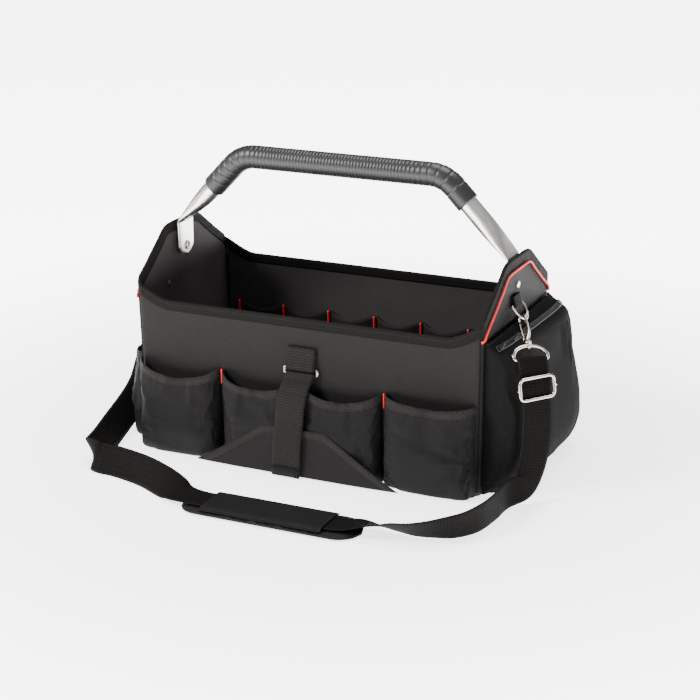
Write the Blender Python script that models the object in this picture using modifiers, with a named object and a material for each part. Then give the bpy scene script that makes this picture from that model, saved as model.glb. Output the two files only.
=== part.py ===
"""Open-top tool tote: padded cloth body, fold-down tube handle, pockets all round and a shoulder strap.

Metres, +Z up. The long front wall faces -Y and the origin is the middle of the underside of the base.
"""
import math

import bmesh
import bpy
from mathutils import Matrix, Vector

# Body
END_HEIGHT = 0.2005
RING_RISE = 0.034
RIVET_RISE = 0.0085
PEAK_RISE = 0.036
LENGTH = 0.480
DEPTH = 0.242
MID_HEIGHT = 0.2015
CORNER_HEIGHT = 0.221
PEAK_WIDTH = 0.070
RISE_LENGTH = 0.042
GABLE_FLARE = 0.004
LONG_BULGE = 0.003
WALL = 0.0035
CORNER_RADIUS = 0.009
BASE_THICKNESS = 0.004
CLEARANCE = 0.0003
SEAM_GAP = 0.001

# Edge trim
BINDING_DEPTH = 0.012
BINDING_THICKNESS = 0.0012
PIPING_RADIUS = 0.0014
SEAM_TAPE_WIDTH = 0.006
SEAM_TAPE_THICKNESS = 0.0022

# Handle
TUBE_RADIUS = 0.0125
HANDLE_HEIGHT = 0.374
HANDLE_HALF_SPAN = 0.144
BEND_RADIUS = 0.045
FOLD_RADIUS = 0.006
TAB_WIDTH = 0.038
TAB_THICKNESS = 0.005
TAB_END_DROP = 0.0115
TAB_FLARE_LENGTH = 0.055
GRIP_WALL = 0.0027
GRIP_LEFT_REACH = 0.064
GRIP_RIGHT_REACH = 0.046
RIVET_SHAFT_RADIUS = 0.003
RIVET_HEAD_RADIUS = 0.0062
RIVET_HEAD_THICKNESS = 0.0016
SMALL_RIVET_RADIUS = 0.0032
SMALL_RIVET_THICKNESS = 0.0014

# Front pockets
POCKET_CLOTH = 0.002
POCKET_HEIGHT = 0.121
POCKET_DEPTH = 0.027
POCKET_FLOOR = 0.001
DIVIDER_WIDTH = 0.003
RED_TAB_HEIGHT = 0.019
RED_TAB_STANDOUT = 0.0045
FLAP_HEIGHT = 0.066
FLAP_TOP_WIDTH = 0.088
FLAP_BASE_WIDTH = 0.292
FLAP_CLOTH = 0.002

# Front strap
WEB_WIDTH = 0.040
WEB_THICKNESS = 0.0018
STRAP_TOP = 0.166
RING_HEIGHT = 0.1345
RING_WIRE = 0.00175
RING_BAR_SPACING = 0.0088
RING_WIDTH = 0.0465
FRONT_STRAP_SLANT = 0.010
LABEL_HEIGHT = 0.015
LABEL_THICKNESS = 0.0008

# Inner pocket row
INNER_HEIGHT = 0.134
INNER_SCALLOP = 0.007
INNER_DEPTH = 0.012
INNER_CLOTH = 0.0016
INNER_MARGIN = 0.0315
INNER_SHIFT = -0.008
INNER_TAB_COUNT = 7
INNER_TAB_WIDTH = 0.0026

# End pockets
END_DEPTH = 0.050
END_WIDTH = 0.226
END_CLOTH = 0.0022
OPEN_END_DEPTH = 0.035
OPEN_END_HEIGHT = 0.124
OPEN_END_WIDTH = 0.224
OPEN_END_SAG = 0.03
ZIPPER_WIDTH = 0.008
ZIPPER_THICKNESS = 0.0016
PULL_LENGTH = 0.014
PULL_WIDTH = 0.0042
PULL_THICKNESS = 0.0014

# Strap hardware
ANCHOR_WIDTH = 0.025
ANCHOR_LENGTH = 0.0125
ANCHOR_OFFSET = -0.013
D_WIRE = 0.0017
D_WIDTH = 0.0315
D_DROP = 0.0225
D_LIFT_DEG = 35.0
HOOK_SEAT_DEG = 50.0
HOOK_LENGTH = 0.058
HOOK_WIRE = 0.0021
HOOK_HALF_WIDTH = 0.0052
BARREL_RADIUS = 0.0036
BARREL_LENGTH = 0.009
PIN_RADIUS = 0.001
PIN_SLACK = 0.0012
GATE_RADIUS = 0.0012
LOOP_WIRE = 0.002
LOOP_WIDTH = 0.046
LOOP_HEIGHT = 0.0185
SLIDE_HEIGHT = 0.026
SLIDE_WIRE = 0.0018

# Shoulder strap and pad
STRAP_REACH = 0.160
PAD_LENGTH = 0.241
PAD_WIDTH = 0.062
PAD_THICKNESS = 0.007
PAD_LEFT = -0.088
COVER_LENGTH = 0.173
COVER_THICKNESS = 0.002
COVER_INSET = 0.030

ANCHOR_TOP = END_HEIGHT + RING_RISE
RIVET_HEIGHT = ANCHOR_TOP + RIVET_RISE
PEAK_HEIGHT = RIVET_HEIGHT + PEAK_RISE
FOLD_HEIGHT = PEAK_HEIGHT
HALF_LENGTH = LENGTH / 2
HALF_DEPTH = DEPTH / 2
WALL_FOOT = BASE_THICKNESS + CLEARANCE
SIDES = 12

# Rows of a wall as shares of its height, and knots of the bow of the long walls as shares of the half length.
WALL_ROWS = (0.0, 0.25, 0.5, 0.75, 1.0)
BOW_KNOTS = (0.0, 0.3, 0.55, 0.78, 1.0)

# Gable edge: run is the share from the corner to the flat peak, rise the share of the climb.
GABLE_EDGE = [(0.0, 0.0), (0.07, 0.11), (0.35, 0.385), (0.62, 0.67), (0.86, 0.925), (0.97, 0.985), (1.1, 1.0)]

# Front pockets: name, left and right edge as shares of the half length, height share, sag share, depth share.
FRONT_POCKETS = [
    ("front_pocket_1", -0.992, -0.480, 1.01, 0.115, 1.0),
    ("front_pocket_2", -0.480, 0.000, 1.00, 0.100, 1.0),
    ("front_pocket_3", 0.000, 0.475, 1.00, 0.100, 1.0),
    ("front_pocket_4", 0.475, 0.992, 1.01, 0.040, 0.96),
]

# Pocket side view: height share, reach share, squareness of the plan, inset share of the depth.
POCKET_PROFILE = [
    (0.000, 0.04, 0.60, 0.02), (0.006, 0.60, 0.48, 0.03), (0.05, 0.98, 0.38, 0.08),
    (0.25, 1.03, 0.36, 0.16), (0.50, 1.03, 0.42, 0.22), (0.75, 0.97, 0.62, 0.12), (1.00, 0.86, 0.86, 0.00),
]

# Closed end pocket: height share, reach share at the front end and at the back end, squareness of the plan.
CLOSED_PROFILE = [
    (0.006, 0.04, 0.04, 0.8), (0.008, 0.40, 0.46, 0.8), (0.03, 0.58, 0.72, 0.75), (0.075, 0.78, 1.02, 0.6),
    (0.14, 0.92, 1.18, 0.42), (0.24, 0.99, 1.25, 0.30), (0.40, 1.00, 1.19, 0.24), (0.56, 0.96, 1.05, 0.24),
    (0.71, 0.80, 0.90, 0.28), (0.86, 0.64, 0.83, 0.34), (0.92, 0.52, 0.76, 0.40), (0.955, 0.32, 0.50, 0.45),
    (1.00, 0.09, 0.10, 0.5),
]
ZIPPER_ROW = 11

# Shoulder strap from the right loop to the left loop.
# Hanging rows: out past the gable as a share of the end pocket depth, share of the half depth towards the
# back, height as a share of the pocket height, heading and climb of the edge-to-edge line in degrees.
HANG_RIGHT = [
    (1.220, -0.757, 0.790, 48, 2), (1.29, -0.800, 0.730, 48, 2), (1.36, -0.830, 0.570, 46, 0),
    (1.36, -0.850, 0.393, 45, -4),
    (1.28, -0.900, 0.215, 50, -30), (1.20, -0.985, 0.125, 62, -62),
]
HANG_LEFT = [
    (1.12, -0.480, 0.145, 182, 46), (1.11, -0.250, 0.235, 200, 36), (1.06, -0.145, 0.37, 228, 14),
    (0.98, -0.112, 0.50, 262, 0),
]
# Floor rows: share of the half length, share of the reach in front of the body, height of the lower edge as a
# share of the strap width, heading and climb of the edge-to-edge line in degrees.
FLOOR_ROUTE = [
    (1.195, 0.110, 0.00, 90, -84), (1.190, 0.350, 0.00, 150, -86), (1.168, 0.610, 0.00, 175, -82),
    (1.100, 0.800, 0.00, 145, -70), (1.000, 0.895, 0.00, 107, -56), (0.893, 0.950, 0.01, 96, -45),
    (0.800, 0.955, 0.04, 91, -37), (0.700, 0.965, 0.14, 90, -20), (0.610, 0.970, 0.22, 90, -5),
]
FLOOR_LEFT = [
    (-0.385, 0.965, 0.15, 88, 6), (-0.460, 0.930, 0.04, 86, 30), (-0.560, 0.880, 0.00, 84, 52),
    (-0.700, 0.800, 0.00, 82, 62), (-0.880, 0.730, 0.00, 86, 62), (-0.985, 0.715, 0.00, 100, 60),
    (-1.045, 0.685, 0.00, 132, 55), (-1.085, 0.600, 0.00, 160, 50), (-1.125, 0.350, 0.02, 174, 47),
    (-1.180, 0.060, 0.05, 178, 46),
]


def clear_scene():
    for item in list(bpy.data.objects):
        bpy.data.objects.remove(item, do_unlink=True)


def new_collection(name, hidden=False):
    collection = bpy.data.collections.new(name)
    bpy.context.scene.collection.children.link(collection)
    collection.hide_render = hidden
    return collection


def principled(name, colour, roughness, metallic=0.0):
    material = bpy.data.materials.new(name)
    material.use_nodes = True
    shader = material.node_tree.nodes["Principled BSDF"]
    shader.inputs["Base Color"].default_value = (*colour, 1.0)
    shader.inputs["Roughness"].default_value = roughness
    shader.inputs["Metallic"].default_value = metallic
    return material


FINISHES = {
    "cloth": ((0.030, 0.029, 0.030), 0.85, 0.0),
    "webbing": ((0.022, 0.020, 0.018), 0.80, 0.0),
    "red": ((0.75, 0.03, 0.03), 0.55, 0.0),
    "aluminium": ((0.62, 0.60, 0.56), 0.35, 1.0),
    "nickel": ((0.66, 0.62, 0.55), 0.25, 1.0),
    "grip": ((0.050, 0.050, 0.054), 0.50, 0.0),
    "zip": ((0.010, 0.010, 0.010), 0.30, 0.0),
}


def place(name, data, finish):
    """One named object of the tote with its own material."""
    item = bpy.data.objects.new(name, data)
    tote.objects.link(item)
    data.materials.append(principled(name + "_finish", *FINISHES[finish]))
    return item


def grid_bmesh(rows, wrap):
    """A grid mesh whose rows follow the given lists of points."""
    across, up = len(rows[0]) - (0 if wrap else 1), len(rows) - 1
    bm = bmesh.new()
    bmesh.ops.create_grid(bm, x_segments=across, y_segments=up, size=1.0)
    for vert in bm.verts:
        column = round((vert.co.x + 1) / 2 * across) % len(rows[0])
        vert.co = rows[round((vert.co.y + 1) / 2 * up)][column]
    if wrap:
        bmesh.ops.remove_doubles(bm, verts=bm.verts, dist=1e-7)
    return bm


def finish_mesh(name, bm, finish, smooth_deg=40):
    mesh = bpy.data.meshes.new(name)
    bm.to_mesh(mesh)
    bm.free()
    mesh.shade_smooth()
    mesh.set_sharp_from_angle(angle=math.radians(smooth_deg))
    return place(name, mesh, finish)


def sheet(name, rows, thickness, finish, offset=-1.0):
    """A cloth wall: an open grid with Solidify."""
    item = finish_mesh(name, grid_bmesh(rows, wrap=False), finish)
    solid = item.modifiers.new("Thickness", "SOLIDIFY")
    solid.thickness = thickness
    solid.offset = offset
    return item


def loft(name, rings, finish, closed=False):
    """A solid through a row of closed rings, capped at both ends or closed on itself."""
    rows = rings + rings[:1] if closed else rings
    bm = grid_bmesh(rows, wrap=True)
    if closed:
        bmesh.ops.remove_doubles(bm, verts=bm.verts, dist=1e-7)
    else:
        bmesh.ops.holes_fill(bm, edges=[edge for edge in bm.edges if edge.is_boundary], sides=0)
    bmesh.ops.recalc_face_normals(bm, faces=bm.faces)
    return finish_mesh(name, bm, finish)


def tangents(points, closed=False):
    count = len(points)
    result = []
    for index in range(count):
        before = points[index - 1] if closed or index > 0 else points[0]
        after = points[(index + 1) % count] if closed or index < count - 1 else points[-1]
        result.append((after - before).normalized())
    return result


def band(name, stations, width, thickness, finish):
    """A flat strap through stations of a centre and an edge-to-edge direction."""
    centres = [centre for centre, _ in stations]
    rings = []
    for (centre, across), tangent in zip(stations, tangents(centres)):
        side = (across - tangent * across.dot(tangent)).normalized() * width / 2
        face = tangent.cross(side).normalized() * thickness / 2
        rings.append([centre - side - face, centre + side - face, centre + side + face, centre - side + face])
    return loft(name, rings, finish)


def wire(name, points, radius, finish, cyclic=False, roundness=2):
    """A round wire or cord as a bevelled curve."""
    curve = bpy.data.curves.new(name, "CURVE")
    curve.dimensions = "3D"
    curve.bevel_depth = radius
    curve.bevel_resolution = roundness
    curve.use_fill_caps = True
    spline = curve.splines.new("POLY")
    spline.points.add(len(points) - 1)
    for slot, point in zip(spline.points, points):
        slot.co = (*point, 1.0)
    spline.use_cyclic_u = cyclic
    spline.use_smooth = True
    return place(name, curve, finish)


def mesh_from_curve(item):
    """Replaces a curve object by a mesh with welded caps, so that it can be cut."""
    depsgraph = bpy.context.evaluated_depsgraph_get()
    mesh = bpy.data.meshes.new_from_object(item.evaluated_get(depsgraph))
    bm = bmesh.new()
    bm.from_mesh(mesh)
    bmesh.ops.remove_doubles(bm, verts=bm.verts, dist=1e-6)
    bm.to_mesh(mesh)
    bm.free()
    name, matrix = item.name, item.matrix_world.copy()
    bpy.data.objects.remove(item)
    solid = bpy.data.objects.new(name, mesh)
    solid.matrix_world = matrix
    tote.objects.link(solid)
    return solid


def cylinder_cutter(name, centre, axis, radius, length):
    bm = bmesh.new()
    turn = Vector((0, 0, 1)).rotation_difference(axis).to_matrix().to_4x4()
    bmesh.ops.create_cone(bm, cap_ends=True, segments=SIDES, radius1=radius, radius2=radius, depth=length,
                          matrix=Matrix.Translation(centre) @ turn)
    mesh = bpy.data.meshes.new(name)
    bm.to_mesh(mesh)
    bm.free()
    cutter = bpy.data.objects.new(name, mesh)
    cutter.hide_render = True
    cutter.display_type = "WIRE"
    cutters.objects.link(cutter)
    return cutter


def cut(item, cutter):
    hole = item.modifiers.new("Hole", "BOOLEAN")
    hole.operation = "DIFFERENCE"
    hole.object = cutter


def turned(name, profile, centre, axis, finish):
    """A turned piece: profile points of radius and height, from the top of the axis to its foot."""
    bm = bmesh.new()
    verts = [bm.verts.new((radius, 0, height)) for radius, height in profile]
    for first, second in zip(verts, verts[1:]):
        bm.edges.new((first, second))
    mesh = bpy.data.meshes.new(name)
    bm.to_mesh(mesh)
    bm.free()
    item = place(name, mesh, finish)
    item.location = centre
    item.rotation_mode = "QUATERNION"
    item.rotation_quaternion = Vector((0, 0, 1)).rotation_difference(axis)
    screw = item.modifiers.new("Turn", "SCREW")
    screw.steps = SIDES
    screw.render_steps = SIDES
    screw.use_merge_vertices = True
    screw.merge_threshold = 0.00001
    screw.use_smooth_shade = True
    return item


def block(name, centre, size, finish, matrix=None, edge=0.0004):
    """A small box with softened edges."""
    bm = bmesh.new()
    bmesh.ops.create_cube(bm, size=1.0)
    bmesh.ops.scale(bm, verts=bm.verts, vec=size)
    mesh = bpy.data.meshes.new(name)
    bm.to_mesh(mesh)
    bm.free()
    item = place(name, mesh, finish)
    item.matrix_world = Matrix.Translation(centre) @ (matrix or Matrix.Identity(4))
    if edge:
        bevel = item.modifiers.new("Edges", "BEVEL")
        bevel.width = edge
        bevel.segments = 1
    return item


def plate(name, outline, thickness, middle, finish):
    """A flat plate from a filled 2D outline."""
    curve = bpy.data.curves.new(name, "CURVE")
    curve.dimensions = "2D"
    curve.fill_mode = "BOTH"
    curve.extrude = thickness / 2
    spline = curve.splines.new("POLY")
    spline.points.add(len(outline) - 1)
    for slot, (x, y) in zip(spline.points, outline):
        slot.co = (x, y, 0.0, 1.0)
    spline.use_cyclic_u = True
    item = place(name, curve, finish)
    item.location = middle
    return item


def rounded_rectangle(length, depth, radius, steps=4):
    outline = []
    for quarter in range(4):
        cx = (length / 2 - radius) * (1 if quarter in (0, 3) else -1)
        cy = (depth / 2 - radius) * (1 if quarter in (0, 1) else -1)
        for step in range(steps + 1):
            angle = math.radians(90 * (quarter + step / steps))
            outline.append((cx + radius * math.cos(angle), cy + radius * math.sin(angle)))
    return outline


def catmull(rows, steps):
    """Points on a smooth curve through rows of numbers, steps between each pair."""
    result = []
    last = len(rows) - 1
    for index in range(last):
        p0, p1, p2, p3 = rows[max(index - 1, 0)], rows[index], rows[index + 1], rows[min(index + 2, last)]
        for step in range(steps):
            t = step / steps
            result.append([0.5 * (2 * b + (c - a) * t + (2 * a - 5 * b + 4 * c - d) * t * t
                                  + (3 * b - a - 3 * c + d) * t ** 3) for a, b, c, d in zip(p0, p1, p2, p3)])
    result.append(list(rows[last]))
    return result


def power(value, exponent):
    return math.copysign(abs(value) ** exponent, value)


def mix(low, high, share):
    return low + (high - low) * share


def direction(heading_deg, climb_deg):
    heading, climb = math.radians(heading_deg), math.radians(climb_deg)
    return Vector((math.cos(climb) * math.cos(heading), math.cos(climb) * math.sin(heading), math.sin(climb)))


# The four walls, each named by the direction that it runs in and the direction that it faces.
WALLS = {
    "front": (Vector((1, 0, 0)), Vector((0, -1, 0)), HALF_LENGTH, HALF_DEPTH),
    "right": (Vector((0, 1, 0)), Vector((1, 0, 0)), HALF_DEPTH, HALF_LENGTH),
    "back": (Vector((-1, 0, 0)), Vector((0, 1, 0)), HALF_LENGTH, HALF_DEPTH),
    "left": (Vector((0, -1, 0)), Vector((-1, 0, 0)), HALF_DEPTH, HALF_LENGTH),
}


def flared(point):
    """The end walls lean outwards a little with height."""
    lean = 1 + GABLE_FLARE / HALF_LENGTH * point.z / PEAK_HEIGHT
    return Vector((point.x * lean, point.y, point.z))


def rim_height(side, along):
    """Height of the open edge at a place along a wall."""
    half = WALLS[side][2]
    seam = half - CORNER_RADIUS * (1 - math.cos(math.radians(45)))
    run = max(seam - abs(along), 0.0)
    if side in ("front", "back"):
        left = max(1 - run / RISE_LENGTH, 0.0)
        return MID_HEIGHT + (CORNER_HEIGHT - MID_HEIGHT) * left ** 1.3
    share = run / (seam - PEAK_WIDTH / 2)
    for (run_a, rise_a), (run_b, rise_b) in zip(GABLE_EDGE, GABLE_EDGE[1:]):
        if share <= run_b:
            rise = mix(rise_a, rise_b, (share - run_a) / (run_b - run_a))
            return mix(CORNER_HEIGHT, PEAK_HEIGHT, rise)
    return PEAK_HEIGHT


def bulge(side, along, height):
    """How far a long wall bows outwards."""
    if side in ("right", "left"):
        return 0.0
    rise = (height - WALL_FOOT) / (MID_HEIGHT - WALL_FOOT)
    upright = faceted(rise, WALL_ROWS, lambda share: math.sin(math.pi * share) ** 2)
    middle = faceted(abs(along) / HALF_LENGTH, BOW_KNOTS, lambda share: max(1 - share ** 2, 0.0) ** 2)
    return LONG_BULGE * upright * middle


def faceted(value, knots, curve):
    """A curve taken at its knots, straight between them."""
    value = min(max(value, knots[0]), knots[-1])
    for low, high in zip(knots, knots[1:]):
        if value <= high:
            return mix(curve(low), curve(high), (value - low) / (high - low))
    return curve(knots[-1])


def wall_columns(side):
    """Columns of a wall from seam to seam: place along, set back at the rounded corners, and facing angle."""
    half = WALLS[side][2]
    seam_angle = 45 - math.degrees(CLEARANCE / CORNER_RADIUS)
    arc = [(-(half - CORNER_RADIUS) - CORNER_RADIUS * math.sin(math.radians(angle)),
            CORNER_RADIUS * (1 - math.cos(math.radians(angle))), -angle)
           for angle in (seam_angle, seam_angle - 3, seam_angle / 2)]
    if side in ("front", "back"):
        knots = [half - CORNER_RADIUS - RISE_LENGTH * share for share in (0.0, 0.25, 0.6)]
        knots += [half * share for share in BOW_KNOTS[3:0:-1]]
    else:
        seam = half - CORNER_RADIUS * (1 - math.cos(math.radians(45)))
        knots = [half - CORNER_RADIUS]
        knots += [seam - (seam - PEAK_WIDTH / 2) * run for run, _ in GABLE_EDGE[2:]]
    left = arc + [(-knot, 0.0, 0.0) for knot in knots]
    right = [(-along, back, -angle) for along, back, angle in reversed(left)]
    return left + [(0.0, 0.0, 0.0)] + right


def wall_point(side, column, height, outwards=0.0):
    """A point on the outside of a wall, or the given distance out from it."""
    along, set_back, angle = column
    run, face, _, distance = WALLS[side]
    turn = math.radians(angle)
    facing = face * math.cos(turn) + run * math.sin(turn)
    out = distance - set_back + bulge(side, along, height)
    return flared(run * along + face * out + Vector((0, 0, height))) + facing * outwards


def on_wall(side, along, out, height):
    """A point at a distance out from the plain face of a wall, following its lean and bow."""
    return wall_point(side, (along, 0.0, 0.0), height, out)


def build_walls():
    names = {"front": "front_panel", "right": "right_end_panel", "back": "back_panel", "left": "left_end_panel"}
    for side, name in names.items():
        columns = wall_columns(side)
        rows = [[wall_point(side, column, mix(WALL_FOOT, rim_height(side, column[0]), share))
                 for column in columns] for share in WALL_ROWS]
        panel = sheet(name, rows, WALL, "cloth")
        if side in ("right", "left"):
            hole = cylinder_cutter(side + "_rivet_hole", on_wall(side, 0.0, 0.0, RIVET_HEIGHT),
                                   WALLS[side][1], RIVET_SHAFT_RADIUS + CLEARANCE, 6 * WALL)
            cut(panel, hole)
    outline = rounded_rectangle(LENGTH, DEPTH, CORNER_RADIUS)
    plate("base_panel", outline, BASE_THICKNESS, (0, 0, BASE_THICKNESS / 2), "cloth")


def rim_columns():
    """Every column of the open edge in order, with the depth that the binding hangs below it."""
    walk = [(side, column) for side in ("front", "right", "back", "left") for column in wall_columns(side)]
    points = [wall_point(side, column, rim_height(side, column[0])) for side, column in walk]
    result = []
    for (side, column), tangent in zip(walk, tangents(points, closed=True)):
        level = math.hypot(tangent.x, tangent.y)
        result.append((side, column, BINDING_DEPTH / max(level, 0.5)))
    return result


def build_binding():
    """Tape folded over the open edge: a U-shaped strip that runs all the way round."""
    outer, inner = CLEARANCE, -WALL - CLEARANCE
    rings = []
    for side, column, drop in rim_columns():
        top = rim_height(side, column[0])
        roof = top + 1.5 * SEAM_GAP
        crown = roof + BINDING_THICKNESS
        corners = [(outer + BINDING_THICKNESS, top - drop), (outer + BINDING_THICKNESS, crown),
                   (inner - BINDING_THICKNESS, crown), (inner - BINDING_THICKNESS, top - drop),
                   (inner, top - drop), (inner, roof), (outer, roof), (outer, top - drop)]
        rings.append([wall_point(side, column, min(z, top), across) + Vector((0, 0, max(z - top, 0.0)))
                      for across, z in corners])
    loft("rim_binding", rings, "webbing", closed=True)


def build_piping():
    """Red piping under the binding on the outside of each end wall."""
    for side in ("left", "right"):
        points = []
        for place_side, column, drop in rim_columns():
            if place_side == side:
                below = drop * (1 + (PIPING_RADIUS + 4 * CLEARANCE) / BINDING_DEPTH)
                height = rim_height(side, column[0]) - below
                points.append(wall_point(side, column, height, PIPING_RADIUS + CLEARANCE))
        wire(side + "_red_piping", points, PIPING_RADIUS, "red", roundness=1)


def build_seam_tapes():
    """Bound seam allowance standing in each inner corner."""
    start = CORNER_RADIUS - WALL - 2 * CLEARANCE
    top = CORNER_HEIGHT - BINDING_DEPTH * 1.35
    for name, sx, sy in (("back_left", -1, 1), ("back_right", 1, 1), ("front_left", -1, -1), ("front_right", 1, -1)):
        diagonal = Vector((sx, sy, 0)).normalized()
        side = Vector((-diagonal.y, diagonal.x, 0)) * SEAM_TAPE_THICKNESS / 2
        centre = Vector((sx * (HALF_LENGTH - CORNER_RADIUS), sy * (HALF_DEPTH - CORNER_RADIUS), 0))
        rings = []
        for height in (WALL_FOOT, top):
            lift = Vector((0, 0, height))
            outside, inside = centre + diagonal * start + lift, centre + diagonal * (start - SEAM_TAPE_WIDTH) + lift
            rings.append([flared(p) for p in (outside - side, outside + side, inside + side, inside - side)])
        loft(name + "_seam_tape", rings, "webbing")


def tab_inner_x():
    """Distance from the middle to the gable side of the flattened tube end."""
    gable = on_wall("right", 0.0, -WALL, FOLD_HEIGHT).x
    return gable - 3 * CLEARANCE - BINDING_THICKNESS


def handle_stations():
    """Right half of the tube, from its flattened end to the middle: x, z, heading, half width, half thickness."""
    tab_x = tab_inner_x() - TAB_THICKNESS / 2
    fold = Vector((tab_x, 0, FOLD_HEIGHT))
    corner = Vector((HANDLE_HALF_SPAN, 0, HANDLE_HEIGHT))
    leg = (corner - fold).normalized()
    lean = math.atan2(-leg.x, leg.z)
    foot = RIVET_HEIGHT - TAB_END_DROP
    flat = TAB_THICKNESS / 2
    rows = []
    for rise, share in ((0.0, 0.35), (0.0012, 0.62), (0.0035, 0.83), (0.0075, 0.96), (0.012, 1.0)):
        rows.append((Vector((tab_x, 0, foot + rise)), 0.0, TAB_WIDTH / 2 * share, flat, 4.0))
    fold_run = FOLD_RADIUS * math.tan(lean / 2)
    for share in (0.0, 0.5, 1.0):
        centre = fold + Vector((-FOLD_RADIUS, 0, -fold_run))
        angle = lean * share
        point = centre + Vector((FOLD_RADIUS * math.cos(angle), 0, FOLD_RADIUS * math.sin(angle)))
        rows.append((point, angle, TAB_WIDTH / 2 * 1.03, flat, 4.0))
    for share, wide, thick, square in ((0.22, 0.92, 0.30, 3.2), (0.45, 0.68, 0.60, 2.6), (0.72, 0.28, 0.88, 2.2),
                                       (1.0, 0.0, 1.0, 2.0)):
        point = fold + leg * (fold_run + TAB_FLARE_LENGTH * share)
        rows.append((point, lean, mix(TUBE_RADIUS, TAB_WIDTH / 2 * 1.03, wide), mix(flat, TUBE_RADIUS, thick), square))
    turn = math.pi / 2 - lean
    bend_run = BEND_RADIUS * math.tan(turn / 2)
    bend_centre = corner - leg * bend_run + Vector((-leg.z, 0, leg.x)) * BEND_RADIUS
    steps = 6
    for step in range(steps + 1):
        angle = lean + turn * step / steps
        point = bend_centre + Vector((math.cos(angle), 0, math.sin(angle))) * BEND_RADIUS
        rows.append((point, angle, TUBE_RADIUS, TUBE_RADIUS, 2.0))
    reach = {1: GRIP_RIGHT_REACH, -1: GRIP_LEFT_REACH}
    ends = {sign: corner - leg * length for sign, length in reach.items()}
    return rows, ends, lean


def ring_at(point, angle, wide, thick, square, sign):
    """A rounded ring around the tube path; sign mirrors it to the left half."""
    ring = []
    out = Vector((math.cos(angle), 0, math.sin(angle)))
    for step in range(SIDES):
        phase = 2 * math.pi * step / SIDES
        offset = Vector((0, 1, 0)) * wide * power(math.cos(phase), 2 / square)
        offset += out * thick * power(math.sin(phase), 2 / square)
        spot = point + offset
        ring.append(Vector((spot.x * sign, spot.y, spot.z)))
    return ring


def build_handle():
    rows, ends, lean = handle_stations()
    leg_end = len(rows) - 7
    halves = {}
    for sign in (1, -1):
        half = [ring_at(*row, sign) for row in rows]
        extra = ring_at(ends[sign], lean, TUBE_RADIUS, TUBE_RADIUS, 2.0, sign)
        halves[sign] = half[:leg_end] + [extra] + half[leg_end:]
    tube = loft("handle_tube", halves[-1] + halves[1][::-1], "aluminium")
    for sign in (1, -1):
        centre = Vector((sign * (tab_inner_x() - TAB_THICKNESS / 2), 0, RIVET_HEIGHT))
        cut(tube, cylinder_cutter("tab_hole_%s" % ("right" if sign > 0 else "left"), centre,
                                  Vector((1, 0, 0)), RIVET_SHAFT_RADIUS + CLEARANCE, 3 * TAB_THICKNESS))

    def sleeve(radius):
        left = [ring_at(ends[-1], lean, radius, radius, 2.0, -1)]
        left += [ring_at(row[0], row[1], radius, radius, 2.0, -1) for row in rows[leg_end:]]
        right = [ring_at(row[0], row[1], radius, radius, 2.0, 1) for row in rows[leg_end:]]
        return left + right[::-1] + [ring_at(ends[1], lean, radius, radius, 2.0, 1)]
    inner = sleeve(TUBE_RADIUS + CLEARANCE)
    outer = sleeve(TUBE_RADIUS + CLEARANCE + GRIP_WALL)
    loft("handle_grip", outer + inner[::-1], "grip", closed=True)


def build_rivets():
    for side in ("left", "right"):
        face = WALLS[side][1]
        inside = face * (tab_inner_x() - TAB_THICKNESS) + Vector((0, 0, RIVET_HEIGHT))
        outside = on_wall(side, 0.0, 0.0, RIVET_HEIGHT)
        span = (outside - inside).dot(face) + CLEARANCE
        head = RIVET_HEAD_THICKNESS
        profile = [(0, CLEARANCE + head), (RIVET_HEAD_RADIUS * 0.75, CLEARANCE + head),
                   (RIVET_HEAD_RADIUS, CLEARANCE), (RIVET_SHAFT_RADIUS, CLEARANCE), (RIVET_SHAFT_RADIUS, -span),
                   (RIVET_HEAD_RADIUS * 0.85, -span), (RIVET_HEAD_RADIUS * 0.65, -span - head), (0, -span - head)]
        turned(side + "_handle_rivet", profile, inside, -face, "nickel")
    for number, (share, rise) in enumerate(((-0.355, 0.907), (-0.81, 0.918)), start=1):
        spot = on_wall("left", -share * HALF_DEPTH, -WALL - CLEARANCE, rise * CORNER_HEIGHT)
        top = SMALL_RIVET_THICKNESS
        profile = [(0, top), (SMALL_RIVET_RADIUS * 0.55, top * 0.85), (SMALL_RIVET_RADIUS, top * 0.3),
                   (SMALL_RIVET_RADIUS, 0), (0, 0)]
        turned("small_rivet_%d" % number, profile, spot, Vector((1, 0, 0)), "nickel")


def pocket_rows(side, left, right, height, sag, depth):
    """Rows of an open pocket that stands out from a wall, with its floor turned in to the wall."""
    middle, half = (left + right) / 2, (right - left) / 2
    steps = 12
    rows = []
    for rise, reach, square, inset in POCKET_PROFILE:
        row = []
        for step in range(steps + 1):
            phase = math.pi * step / steps
            stand = power(math.sin(phase), square) if 0 < step < steps else 0.0
            along = middle - half * power(math.cos(phase), square if 0 < step < steps else 1.0)
            along += math.copysign(inset * depth, middle - along) * stand * (abs(along - middle) / half) ** 2
            sink = sag * height * (1 - (abs(along - middle) / half) ** 2) * rise ** 3
            level = POCKET_FLOOR + rise * (height - POCKET_FLOOR) - sink
            row.append(on_wall(side, along, SEAM_GAP + depth * reach * stand, level))
        rows.append(row)
    return rows


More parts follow.
